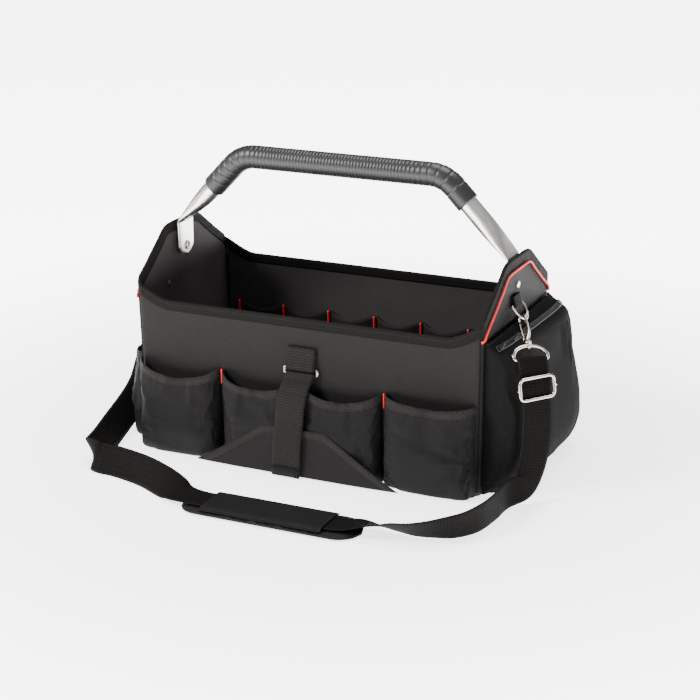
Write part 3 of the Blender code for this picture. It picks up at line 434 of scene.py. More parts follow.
@dataclass(frozen=True)
class WovenCloth:
    """Coated polyester cloth with a plain weave."""

    name: str
    colour: Colour = (0.0060, 0.0054, 0.0053)
    light: Colour = (0.0208, 0.0190, 0.0184)
    thread: Colour = (0.024, 0.0215, 0.0200)
    hem: float = 0.0
    pitch: float = 0.0012
    depth: float = 0.00022
    roughness: float = 0.60
    sheen: float = 0.008
    stitches: tuple[StitchRow, ...] = ()

    def make(self) -> bpy.types.Material:
        """The material."""
        recipe = Recipe(self.name)
        vector, along, across = recipe.cloth_coordinates()
        turn = 2 * math.pi / self.pitch
        weave = (along * turn).sine() * (across * turn).sine() * 0.5 + 0.5
        slub = recipe.speckle(620.0, 2.0, vector)
        streak = recipe.speckle(1.0, 2.0, recipe.stretched(vector, (90.0, 520.0, 1.0)))
        patch = recipe.speckle(16.0, 3.0)
        grain = weave * 0.45 + slub * 0.30 + streak * 0.25
        colour = recipe.blend(grain * 0.6 + streak * 0.2 + patch * 0.2, self.colour, self.light)
        height = grain
        if self.hem:
            folded = across.below(self.hem)
            twill = ((along + across * 0.6) * (2 * math.pi / FINE_PITCH)).sine() * 0.5 + 0.5
            colour = recipe.blend(folded * (twill * 0.5 + 0.25), colour, self.thread)
            height = height + folded * (twill * 1.4 + 0.8)
        for row in self.stitches:
            mask = row.mask(along, across)
            colour = recipe.blend(mask, colour, self.thread)
            furrow = ((along if row.upright else across) - row.distance).size().below(FURROW_HALF_WIDTH)
            # Painted shade: the cloth beside the thread is darkened where the stitches sink it into a groove.
            colour = recipe.blend(furrow * (1.0 - mask) * 0.6, colour, FURROW_PAINTED_SHADE)
            height = height - furrow * 1.6 + mask * 3.0
        recipe.link("Base Color", colour)
        recipe.link("Roughness", patch * 0.16 + (self.roughness - 0.08))
        recipe.relief(height, self.depth)
        recipe.set(Sheen_Weight=self.sheen, Sheen_Roughness=0.45, Specular_IOR_Level=0.07)
        return recipe.material


@dataclass(frozen=True)
class Webbing:
    """Heavy woven strap with fine cross ribs and a firm edge."""

    name: str
    colour: Colour = (0.0014, 0.0012, 0.0011)
    light: Colour = (0.0098, 0.0087, 0.0079)
    pitch: float = 0.0036
    depth: float = 0.00060
    roughness: float = 0.60
    stitches: tuple[StitchRow, ...] = ()

    def make(self) -> bpy.types.Material:
        """The material."""
        recipe = Recipe(self.name)
        vector, along, across = recipe.cloth_coordinates()
        turn = 2 * math.pi / self.pitch
        offset = (across * (turn * 0.5)).sine() * 1.4
        rib = (along * turn + offset).sine() * 0.5 + 0.5
        cord = (across * (turn * 0.9)).sine() * 0.5 + 0.5
        slub = recipe.speckle(520.0, 2.0, vector)
        grain = rib * 0.5 + cord * 0.2 + slub * 0.3
        colour = recipe.blend(grain, self.colour, self.light)
        height = grain
        for row in self.stitches:
            mask = row.mask(along, across)
            colour = recipe.blend(mask, colour, STRAP_THREAD)
            height = height + mask * 1.2
        recipe.link("Base Color", colour)
        recipe.link("Roughness", slub * 0.18 + (self.roughness - 0.09))
        recipe.relief(height, self.depth)
        recipe.set(Sheen_Weight=0.006, Sheen_Roughness=0.4, Specular_IOR_Level=0.03)
        return recipe.material


@dataclass(frozen=True)
class RedTrim:
    """Red piping and tab cloth."""

    name: str
    colour: Colour = (0.42, 0.006, 0.008)
    light: Colour = (0.66, 0.016, 0.016)

    def make(self) -> bpy.types.Material:
        """The material."""
        recipe = Recipe(self.name)
        weave = recipe.speckle(900.0, 2.0)
        patch = recipe.speckle(60.0, 2.0)
        recipe.link("Base Color", recipe.blend(weave * 0.6 + patch * 0.4, self.colour, self.light))
        recipe.link("Roughness", weave * 0.2 + 0.38)
        recipe.relief(weave, 0.00012)
        return recipe.material


@dataclass(frozen=True)
class Metal:
    """Bare or plated metal with fine scratches."""

    name: str
    colour: Colour
    light: Colour
    roughness: float
    depth: float = 0.00003
    stretch: tuple[float, float, float] = (1.0, 1.0, 1.0)

    def make(self) -> bpy.types.Material:
        """The material."""
        recipe = Recipe(self.name)
        fine = recipe.speckle(900.0, 3.0, recipe.stretched(recipe.object_place(), self.stretch))
        cloud = recipe.speckle(45.0, 3.0)
        recipe.link("Base Color", recipe.blend(fine * 0.5 + cloud * 0.5, self.colour, self.light))
        recipe.link("Roughness", fine * 0.14 + cloud * 0.10 + (self.roughness - 0.12))
        recipe.relief(fine, self.depth)
        recipe.set(Metallic=1.0)
        return recipe.material


@dataclass(frozen=True)
class Rubber:
    """Satin moulded rubber or plastic."""

    name: str
    colour: Colour = (0.0060, 0.0057, 0.0057)
    light: Colour = (0.0110, 0.0105, 0.0105)
    roughness: float = 0.42

    def make(self) -> bpy.types.Material:
        """The material."""
        recipe = Recipe(self.name)
        fine = recipe.speckle(1400.0, 2.0)
        cloud = recipe.speckle(30.0, 3.0)
        recipe.link("Base Color", recipe.blend(cloud, self.colour, self.light))
        recipe.link("Roughness", fine * 0.10 + cloud * 0.12 + (self.roughness - 0.11))
        recipe.relief(fine, 0.00004)
        return recipe.material


@dataclass(frozen=True)
class ZipperTeeth:
    """Glossy coil of a zipper on its tape."""

    name: str

    def make(self) -> bpy.types.Material:
        """The material."""
        recipe = Recipe(self.name)
        _, along, across = recipe.cloth_coordinates()
        tooth = (along * (2 * math.pi / FINE_PITCH)).sine() * 0.5 + 0.5
        seam = (across - 0.004).size()
        coil = seam.below(0.0027)
        height = coil * (tooth * 0.8 + 1.0) - seam.below(0.00045) * 1.2
        recipe.link("Base Color", recipe.blend(coil * tooth, (0.0022, 0.0022, 0.0024), (0.010, 0.010, 0.011)))
        recipe.link("Roughness", 0.55 - coil * 0.33)
        recipe.relief(height, 0.0005)
        return recipe.material


@dataclass(frozen=True)
class Backdrop:
    """White studio sweep that glows, with a painted shadow: its glow dims near the tote."""

    name: str = "studio_white"
    glow: float = 6.0

    def make(self) -> bpy.types.Material:
        """The material."""
        recipe = Recipe(self.name)
        cloud = recipe.speckle(3.0, 2.0)
        recipe.link("Base Color", recipe.blend(cloud, (0.90, 0.90, 0.90), (0.93, 0.93, 0.93)))
        # Painted shadow: the glow's colour falls from white far out to grey near the tote, standing for the
        # tote's shadow on the floor.
        place = recipe.object_place()
        length = recipe.node("ShaderNodeVectorMath", {"operation": "LENGTH"}, Vector=place)
        share = recipe.node("ShaderNodeMapRange", {"interpolation_type": "SMOOTHSTEP"},
                            Value=recipe.out(length, "Value"), From_Min=0.30, From_Max=1.1)
        painted_shadow_glow = recipe.blend(recipe.out(share, "Result"), (0.42, 0.42, 0.42), (1.0, 1.0, 1.0))
        recipe.link("Emission Color", painted_shadow_glow)
        recipe.set(Roughness=0.85, Specular_IOR_Level=0.1, Emission_Strength=self.glow)
        return recipe.material


class Bench:
    """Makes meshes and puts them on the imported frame."""

    @staticmethod
    def measure(rows: Sequence[Row]) -> list[list[tuple[float, float]]]:
        """Cloth coordinates of a grid: along the row, and down from the last row.

        Args:
            rows: Rows of points.

        Returns:
            A pair of lengths in metres for each point.
        """
        middle = rows[len(rows) // 2]
        run = travelled(middle)
        columns = [travelled([row[index] for row in rows[::-1]])[::-1] for index in range(len(middle))]
        return [[(travel, column[level]) for travel, column in zip(run, columns)]
                for level in range(len(rows))]

    @classmethod
    def grid(cls, name: str, rows: Sequence[Row], finish: bpy.types.Material, closed: bool = False,
             capped: bool = False) -> bpy.types.Object:
        """A mesh over a grid of points.

        Args:
            name: The piece's name.
            rows: Rows of points.
            finish: Its material.
            closed: Whether each row meets its own start.
            capped: Whether the first and last rows are filled.

        Returns:
            The object.
        """
        mesh = bpy.data.meshes.new(name)
        width = len(rows[0])
        verts = [tuple(point) for row in rows for point in row]
        faces = []
        spans = width if closed else width - 1
        for level in range(len(rows) - 1):
            for index in range(spans):
                right = (index + 1) % width
                faces.append((level * width + index, level * width + right,
                              (level + 1) * width + right, (level + 1) * width + index))
        if capped:
            faces.append(tuple(range(width))[::-1])
            faces.append(tuple((len(rows) - 1) * width + index for index in range(width)))
        mesh.from_pydata(verts, [], faces)
        lengths = cls.measure([row + row[:1] for row in rows] if closed else rows)
        layer = mesh.uv_layers.new(name="cloth")
        for number, face in enumerate(mesh.polygons):
            level, index = divmod(number, spans)
            for loop, vertex in zip(face.loop_indices, face.vertices):
                if level >= len(rows) - 1:
                    layer.data[loop].uv = lengths[vertex // width][vertex % width]
                    continue
                column = vertex % width
                if closed and index == spans - 1 and column == 0:
                    column = width
                layer.data[loop].uv = lengths[vertex // width][column]
        mesh.shade_smooth()
        mesh.materials.append(finish)
        piece = bpy.data.objects.new(name, mesh)
        bpy.context.scene.collection.objects.link(piece)
        return piece

    @classmethod
    def sheet(cls, name: str, rows: Sequence[Row], thickness: float, finish: bpy.types.Material,
              offset: float = -1.0, rounded: bool = False) -> bpy.types.Object:
        """A cloth with thickness.

        Args:
            name: The piece's name.
            rows: Rows of points.
            thickness: Its thickness.
            finish: Its material.
            offset: -1 to grow inwards, 1 to grow outwards.
            rounded: Whether the edges are subdivided round.

        Returns:
            The object.
        """
        piece = cls.grid(name, rows, finish)
        solid = piece.modifiers.new("thickness", "SOLIDIFY")
        solid.thickness = thickness
        solid.offset = offset
        if rounded:
            soft = piece.modifiers.new("soft", "SUBSURF")
            soft.levels = 1
            soft.render_levels = 1
        return piece

    @classmethod
    def ribbon(cls, name: str, stations: Sequence[tuple[Vector, Vector]], width: float, thickness: float,
               finish: bpy.types.Material, across: int = 6) -> bpy.types.Object:
        """A flat strap with rounded edges.

        Args:
            name: The piece's name.
            stations: Centres and edge-to-edge directions.
            width: Its width.
            thickness: Its thickness.
            finish: Its material.
            across: Faces from edge to edge.

        Returns:
            The object.
        """
        centres = [centre for centre, _ in stations]
        rows = []
        for (centre, edge), tangent in zip(stations, tangents(centres)):
            side = (edge - tangent * edge.dot(tangent)).normalized()
            face = tangent.cross(side).normalized() * thickness / 2
            line = []
            for sign, order in ((-1, range(across + 1)), (1, range(across, -1, -1))):
                for index in order:
                    share = index / across * 2 - 1
                    round_off = 0.35 if index in (0, across) else 1.0
                    line.append(centre + side * (share * width / 2) + face * (sign * round_off))
            rows.append(line)
        piece = cls.grid(name, rows, finish, closed=True, capped=True)
        layer = piece.data.uv_layers["cloth"]
        run = travelled(centres)
        count = 2 * (across + 1)
        for loop in piece.data.loops:
            level, index = divmod(loop.vertex_index, count)
            share = index / across if index <= across else (count - 1 - index) / across
            layer.data[loop.index].uv = (run[level], share * width)
        return piece

    @classmethod
    def cord(cls, name: str, points: Sequence[Vector], radius: float, finish: bpy.types.Material,
             closed: bool = False, sides: int = 12) -> bpy.types.Object:
        """A round cord or wire through points.

        Args:
            name: The piece's name.
            points: Its centre line.
            radius: Its radius.
            finish: Its material.
            closed: Whether it is a ring.
            sides: Faces around it.

        Returns:
            The object.
        """
        rows = []
        normal = None
        for point, tangent in zip(points, tangents(points, closed)):
            if normal is None:
                normal = tangent.orthogonal().normalized()
            normal = (normal - tangent * normal.dot(tangent)).normalized()
            second = tangent.cross(normal)
            rows.append([point + (normal * math.cos(turn) + second * math.sin(turn)) * radius
                         for turn in turns(sides)])
        if closed:
            rows.append([point.copy() for point in rows[0]])
            best = min(range(sides), key=lambda shift: (rows[-2][0] - rows[0][shift]).length)
            rows[-1] = rows[0][best:] + rows[0][:best]
        return cls.grid(name, rows, finish, closed=True, capped=not closed)

    @classmethod
    def turned(cls, name: str, profile: Sequence[tuple[float, float]], origin: Vector, axis: Vector,
               finish: bpy.types.Material, sides: int = 28) -> bpy.types.Object:
        """A turned piece.

        Args:
            name: The piece's name.
            profile: Radius and distance along the axis.
            origin: The start of the axis.
            axis: Its direction.
            finish: Its material.
            sides: Faces around it.

        Returns:
            The object.
        """
        first = axis.orthogonal().normalized()
        second = axis.cross(first).normalized()
        rows = []
        for radius, along in profile:
            rows.append([origin + axis * along
                         + (first * math.cos(turn) + second * math.sin(turn)) * max(radius, 0.00002)
                         for turn in turns(sides)])
        return cls.grid(name, rows, finish, closed=True, capped=True)

    @classmethod
    def swept(cls, name: str, stations: Sequence[tuple[Vector, float, float, float]], facing: Vector,
              finish: bpy.types.Material, sides: int = 20) -> bpy.types.Object:
        """A forged piece along a flat path.

        Args:
            name: The piece's name.
            stations: Centre, half width, half thickness and knurl of each section.
            facing: The direction square to the path's plane.
            finish: Its material.
            sides: Faces around it.

        Returns:
            The object.
        """
        rows = []
        centres = [centre for centre, _, _, _ in stations]
        for (centre, wide, thick, knurl), tangent in zip(stations, tangents(centres)):
            lateral = facing.cross(tangent).normalized()
            row = []
            for index, turn in enumerate(turns(sides)):
                ridge = 1 + knurl * (-1) ** index
                spoke = lateral * math.cos(turn) * wide + facing * math.sin(turn) * thick
                row.append(centre + spoke * ridge)
            rows.append(row)
        return cls.grid(name, rows, finish, closed=True, capped=True)

    @staticmethod
    def rounded(points: Sequence[Vector], passes: int) -> list[Vector]:
        """Rounds the corners of a closed row of points.

        Args:
            points: The points in order.
            passes: How often they are rounded.

        Returns:
            The rounded points.
        """
        result = list(points)
        for _ in range(passes):
            count = len(result)
            result = [(result[index - 1] + result[index] * 2 + result[(index + 1) % count]) / 4
                      for index in range(count)]
        return result

    @staticmethod
    def soften(piece: bpy.types.Object, pinned: Callable[[int], float], slack: float, reach: float,
               pressure: float = 0.0, frames: int = 14) -> None:
        """A short cloth simulation that lets sewn cloth buckle between its seams.

        Args:
            piece: The cloth, before its thickness.
            pinned: How firmly each point is held, from 0 to 1.
            slack: Spare length as a share.
            reach: How far a point may move.
            pressure: Pressure from within.
            frames: Length of the simulation.
        """
        group = piece.vertex_groups.new(name="seams")
        for vertex in piece.data.vertices:
            group.add([vertex.index], pinned(vertex.index), "REPLACE")
        others = list(piece.modifiers)
        for modifier in others:
            modifier.show_viewport = False
        cloth = piece.modifiers.new("buckle", "CLOTH")
        piece.modifiers.move(len(piece.modifiers) - 1, 0)
        settings = cloth.settings
        settings.quality = 5
        settings.mass = 0.15
        settings.tension_stiffness = 15.0
        settings.compression_stiffness = 8.0
        settings.bending_stiffness = 0.3
        settings.vertex_group_mass = "seams"
        settings.shrink_min = -slack
        settings.effector_weights.gravity = 0.2
        if pressure:
            settings.use_pressure = True
            settings.uniform_pressure_force = pressure
        scene = bpy.context.scene
        for number in range(1, frames + 1):
            scene.frame_set(number)
        shaped = piece.evaluated_get(bpy.context.evaluated_depsgraph_get())
        moved = [vertex.co.copy() for vertex in shaped.data.vertices]
        for vertex, target in zip(piece.data.vertices, moved):
            step = target - vertex.co
            if step.length > reach:
                step *= reach / step.length
            vertex.co += step
            vertex.co.z = max(vertex.co.z, 0.0)
        piece.modifiers.remove(cloth)
        piece.vertex_groups.remove(group)
        for modifier in others:
            modifier.show_viewport = True
        scene.frame_set(1)

    @staticmethod
    def stand_for(piece: bpy.types.Object, slot: Slot, body: Body, *nodes: str) -> bpy.types.Object:
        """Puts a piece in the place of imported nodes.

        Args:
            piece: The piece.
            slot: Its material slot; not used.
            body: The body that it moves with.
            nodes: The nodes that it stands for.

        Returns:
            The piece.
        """
        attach(piece, body.value)
        if nodes:
            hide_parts(*nodes)
        LOG.info("%s: %d faces", piece.name, len(piece.data.polygons))
        return piece

    @staticmethod
    def dress(node: str, finish: bpy.types.Material, levels: int = 0) -> bpy.types.Object:
        """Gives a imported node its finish.

        Args:
            node: The node's name.
            finish: Its material.
            levels: Subdivisions that make its wires round.

        Returns:
            The node's object.
        """
        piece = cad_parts[node]
        if not piece.material_slots:
            piece.data.materials.append(finish)
        for slot in piece.material_slots:
            slot.material = finish
        if levels:
            soft = piece.modifiers.new("round", "SUBSURF")
            soft.levels = levels
            soft.render_levels = levels
        LOG.info("%s dressed", node)
        return piece


@dataclass(frozen=True)
class Column:
    """A place along a wall: its distance, how far the corner sets it back, and the way it faces."""

    along: float
    set_back: float = 0.0
    angle: float = 0.0


@dataclass
class Walls:
    """The four walls of the body, and everything that is measured from them."""

    half_length: float = 0.240
    half_depth: float = 0.121
    mid_height: float = 0.2015
    corner_height: float = 0.221
    peak_height: float = 0.279
    peak_width: float = 0.070
    rise_length: float = 0.042
    flare: float = 0.004
    bow: float = 0.003
    cloth: float = 0.0035
    radius: float = 0.009
    foot: float = 0.0043
    gable_edge: tuple[tuple[float, float], ...] = (
        (0.0, 0.0), (0.07, 0.11), (0.35, 0.385), (0.62, 0.67), (0.86, 0.925), (0.97, 0.985), (1.1, 1.0))

    def frame_of(self, side: Side) -> tuple[Vector, Vector, float, float]:
        """How a wall lies.

        Args:
            side: The wall.

        Returns:
            The way it runs, the way it faces, half its length and its distance from the middle.
        """
        return {
            Side.FRONT: (Vector((1, 0, 0)), Vector((0, -1, 0)), self.half_length, self.half_depth),
            Side.RIGHT: (Vector((0, 1, 0)), Vector((1, 0, 0)), self.half_depth, self.half_length),
            Side.BACK: (Vector((-1, 0, 0)), Vector((0, 1, 0)), self.half_length, self.half_depth),
            Side.LEFT: (Vector((0, -1, 0)), Vector((-1, 0, 0)), self.half_depth, self.half_length),
        }[side]

    def long(self, side: Side) -> bool:
        """Whether a wall is one of the long ones."""
        return side in (Side.FRONT, Side.BACK)

    def rim(self, side: Side, along: float) -> float:
        """Height of the open edge at a place along a wall.

        Args:
            side: The wall.
            along: Distance from the wall's middle.

        Returns:
            The height.
        """
        half = self.frame_of(side)[2]
        seam = half - self.radius * (1 - math.cos(math.radians(45)))
        run = max(seam - abs(along), 0.0)
        if self.long(side):
            left = max(1 - run / self.rise_length, 0.0)
            return self.mid_height + (self.corner_height - self.mid_height) * left ** 1.3
        share = run / (seam - self.peak_width / 2)
        for (run_a, rise_a), (run_b, rise_b) in zip(self.gable_edge, self.gable_edge[1:]):
            if share <= run_b:
                rise = mix(rise_a, rise_b, (share - run_a) / (run_b - run_a))
                return mix(self.corner_height, self.peak_height, rise)
        return self.peak_height

    def point(self, side: Side, column: Column, height: float, out: float = 0.0) -> Vector:
        """A point on a wall.

        Args:
            side: The wall.
            column: The place along it.
            height: The height.
            out: Distance out from its outside face.

        Returns:
            The point.
        """
        run, face, _, distance = self.frame_of(side)
        turn = math.radians(column.angle)
        facing = face * math.cos(turn) + run * math.sin(turn)
        bulge = 0.0
        if self.long(side):
            rise = min(max((height - self.foot) / (self.mid_height - self.foot), 0.0), 1.0)
            middle = max(1 - (column.along / self.half_length) ** 2, 0.0) ** 2
            bulge = self.bow * math.sin(math.pi * rise) ** 2 * middle
        spot = run * column.along + face * (distance - column.set_back + bulge) + Vector((0, 0, height))
        lean = 1 + self.flare / self.half_length * height / self.peak_height
        return Vector((spot.x * lean, spot.y, spot.z)) + facing * out

    def at(self, side: Side, along: float, out: float, height: float) -> Vector:
        """A point at a distance out from the plain face of a wall."""
        return self.point(side, Column(along), height, out)

    def columns(self, side: Side, flat: int, arc: int = 5, reach: float = 44.0) -> list[Column]:
        """Places from one corner seam to the other.

        Args:
            side: The wall.
            flat: Spans of the flat part.
            arc: Spans of each rounded corner.
            reach: How far round the corners go, in degrees.

        Returns:
            The columns.
        """
        half = self.frame_of(side)[2]
        flat_half = half - self.radius
        left = []
        for step in range(arc):
            angle = math.radians(reach * (1 - step / arc))
            left.append(Column(-flat_half - self.radius * math.sin(angle),
                               self.radius * (1 - math.cos(angle)), -math.degrees(angle)))
        middle = [Column(mix(-flat_half, flat_half, share)) for share in shares(flat)]
        return left + middle + [Column(-c.along, c.set_back, -c.angle) for c in reversed(left)]


@dataclass
class ClothBody:
    """Walls, base, binding, piping and corner seams."""

    walls: Walls
    binding_depth: float = 0.012
    binding_cloth: float = 0.0012
    piping_radius: float = 0.0017
    rim_gap: float = 0.0006

    def build(self) -> None:
        """Makes all pieces of the body."""
        self.make_walls()
        self.make_binding()
        self.make_piping()
        self.make_corner_seams()

    def make_walls(self) -> None:
        """The four walls with their soft unevenness, and the base."""
        outer = WovenCloth("wall_cloth").make()
        # Painted light: the inside faces get a lighter copy of the wall cloth, standing for light in the
        # tote's shaded inside.
        lining = WovenCloth("lining_cloth", (0.0190, 0.0172, 0.0170), (0.0560, 0.0515, 0.0505)).make()
        names = {Side.FRONT: "front_panel", Side.RIGHT: "right_end_panel", Side.BACK: "back_panel",
                 Side.LEFT: "left_end_panel"}
        for seed, (side, node) in enumerate(names.items()):
            columns = self.walls.columns(side, 72 if self.walls.long(side) else 44)
            half = self.walls.frame_of(side)[2]
            rows = []
            for share in shares(40):
                row = []
                for column in columns:
                    top = self.walls.rim(side, column.along)
                    height = mix(self.walls.foot, top, share)
                    calm = smooth_step(0.0, 0.030, half - abs(column.along)) * smooth_step(0.0, 0.03, height)
                    calm *= 1 - smooth_step(0.80, 0.97, share) * 0.75
                    wave = ripple(column.along * 8.0, height * 13.0, seed * 5.0) * 0.0011
                    pull = math.exp(-((half - abs(column.along)) / 0.035) ** 2)
                    wave += pull * ripple(column.along * 20.0, height * 45.0, seed + 2.0) * 0.0007
                    row.append(self.walls.point(side, column, height, wave * calm))
                rows.append(row)
            piece = Bench.sheet(node + "_cloth", rows, self.walls.cloth, outer)
            piece.data.materials.append(lining)
            piece.modifiers["thickness"].material_offset = 1
            Bench.stand_for(piece, Slot.CLOTH, Body.BAG, node)
        board = Rubber("base_board", (0.006, 0.006, 0.0065), (0.010, 0.010, 0.0105), 0.7)
        Bench.dress("base_panel", board.make())

    def rim_walk(self) -> list[tuple[Side, Column, float]]:
        """Every place of the open edge in order.

        Returns:
            Each wall and column, with the depth that the binding hangs below the edge.
        """
        walk = [(side, column) for side in (Side.FRONT, Side.RIGHT, Side.BACK, Side.LEFT)
                for column in self.walls.columns(side, 60 if self.walls.long(side) else 40)]
        points = [self.walls.point(side, column, self.walls.rim(side, column.along)) for side, column in walk]
        return [(side, column, self.binding_depth / max(math.hypot(tangent.x, tangent.y), 0.5))
                for (side, column), tangent in zip(walk, tangents(points, closed=True))]

    def make_binding(self) -> None:
        """Tape folded over the open edge, with a row of stitches on each leg."""
        outer, inner = self.rim_gap, -self.walls.cloth - self.rim_gap
        middle, reach = (outer + inner) / 2, (outer - inner) / 2
        rows = []
        section = [(outer, 1.0), (outer, 0.8), (outer, 0.55), (outer, 0.3), (outer, 0.1)]
        crown = [(middle + reach * math.cos(turn), -math.sin(turn)) for turn in
                 (math.pi * step / 6 for step in range(1, 6))]
        section += crown + [(inner, share) for _, share in section[::-1]]
        walk = self.rim_walk()
        for across, share in section:
            row = []
            for number, (side, column, drop) in enumerate(walk):
                top = self.walls.rim(side, column.along) + self.rim_gap
                wave = ripple(number * 0.31, across * 300.0, 4.0) * 0.00025
                if share >= 0:
                    row.append(self.walls.point(side, column, top - drop * share, across + wave))
                else:
                    lift = Vector((0, 0, -share * 0.0012))
                    row.append(self.walls.point(side, column, top, across + wave) + lift)
            rows.append(row + row[:1])
        span = 2 * self.binding_depth
        finish = Webbing("binding_tape", (0.0034, 0.0031, 0.0029), (0.0140, 0.0128, 0.0120), pitch=0.0016,
                         depth=0.0003, stitches=(StitchRow(0.0095, 0.0036), StitchRow(span - 0.003, 0.0036)))
        piece = Bench.sheet("rim_binding_tape", rows, self.binding_cloth, finish.make())
        Bench.stand_for(piece, Slot.WEBBING, Body.BAG, "rim_binding")

    def make_piping(self) -> None:
        """Red piping below the binding on each end wall."""
        finish = RedTrim("red_piping").make()
        for side, node in ((Side.LEFT, "left_red_piping"), (Side.RIGHT, "right_red_piping")):
            points = []
            for place, column, drop in self.rim_walk():
                if place is side:
                    below = drop * (1 + (self.piping_radius + 0.0009) / self.binding_depth)
                    points.append(self.walls.point(side, column, self.walls.rim(side, column.along) - below,
                                                   self.piping_radius + 0.0001))
            piece = Bench.cord(node + "_cord", points, self.piping_radius, finish)
            Bench.stand_for(piece, Slot.RED, Body.BAG, node)

    def make_corner_seams(self) -> None:
        """Dark cord down each outer corner, and the bound seam inside it."""
        cord = Webbing("corner_cord", (0.003, 0.003, 0.003), (0.011, 0.011, 0.011)).make()
        tape = Webbing("seam_tape", (0.005, 0.0046, 0.0044), (0.024, 0.022, 0.020),
                       stitches=(StitchRow(0.003, upright=True),)).make()
        for node, sx, sy in (("back_left_seam_tape", -1, 1), ("back_right_seam_tape", 1, 1),
                             ("front_left_seam_tape", -1, -1), ("front_right_seam_tape", 1, -1)):
            diagonal = Vector((sx, sy, 0)).normalized()
            corner = Vector((sx * (self.walls.half_length - self.walls.radius),
                             sy * (self.walls.half_depth - self.walls.radius), 0))
            outside, inside = [], []
            top = self.walls.corner_height - self.binding_depth * 1.3
            for share in shares(24):
                height = mix(0.006, top, share)
                lean = 1 + self.walls.flare / self.walls.half_length * height / self.walls.peak_height
                sway = ripple(height * 30.0, sx + sy, 7.0) * 0.0003
                spot = corner + diagonal * (self.walls.radius - 0.0002 + sway)
                outside.append(Vector((spot.x * lean, spot.y, height)))
                spot = corner + diagonal * (self.walls.radius - self.walls.cloth - 0.0034 + sway)
                inside.append((Vector((spot.x * lean, spot.y, height)), diagonal))
            piece = Bench.cord(node.replace("seam_tape", "corner_cord"), outside, 0.0012, cord, sides=8)
            Bench.stand_for(piece, Slot.WEBBING, Body.BAG)
            piece = Bench.ribbon(node + "_cloth", inside, 0.0062, 0.0020, tape)
            Bench.stand_for(piece, Slot.WEBBING, Body.BAG, node)


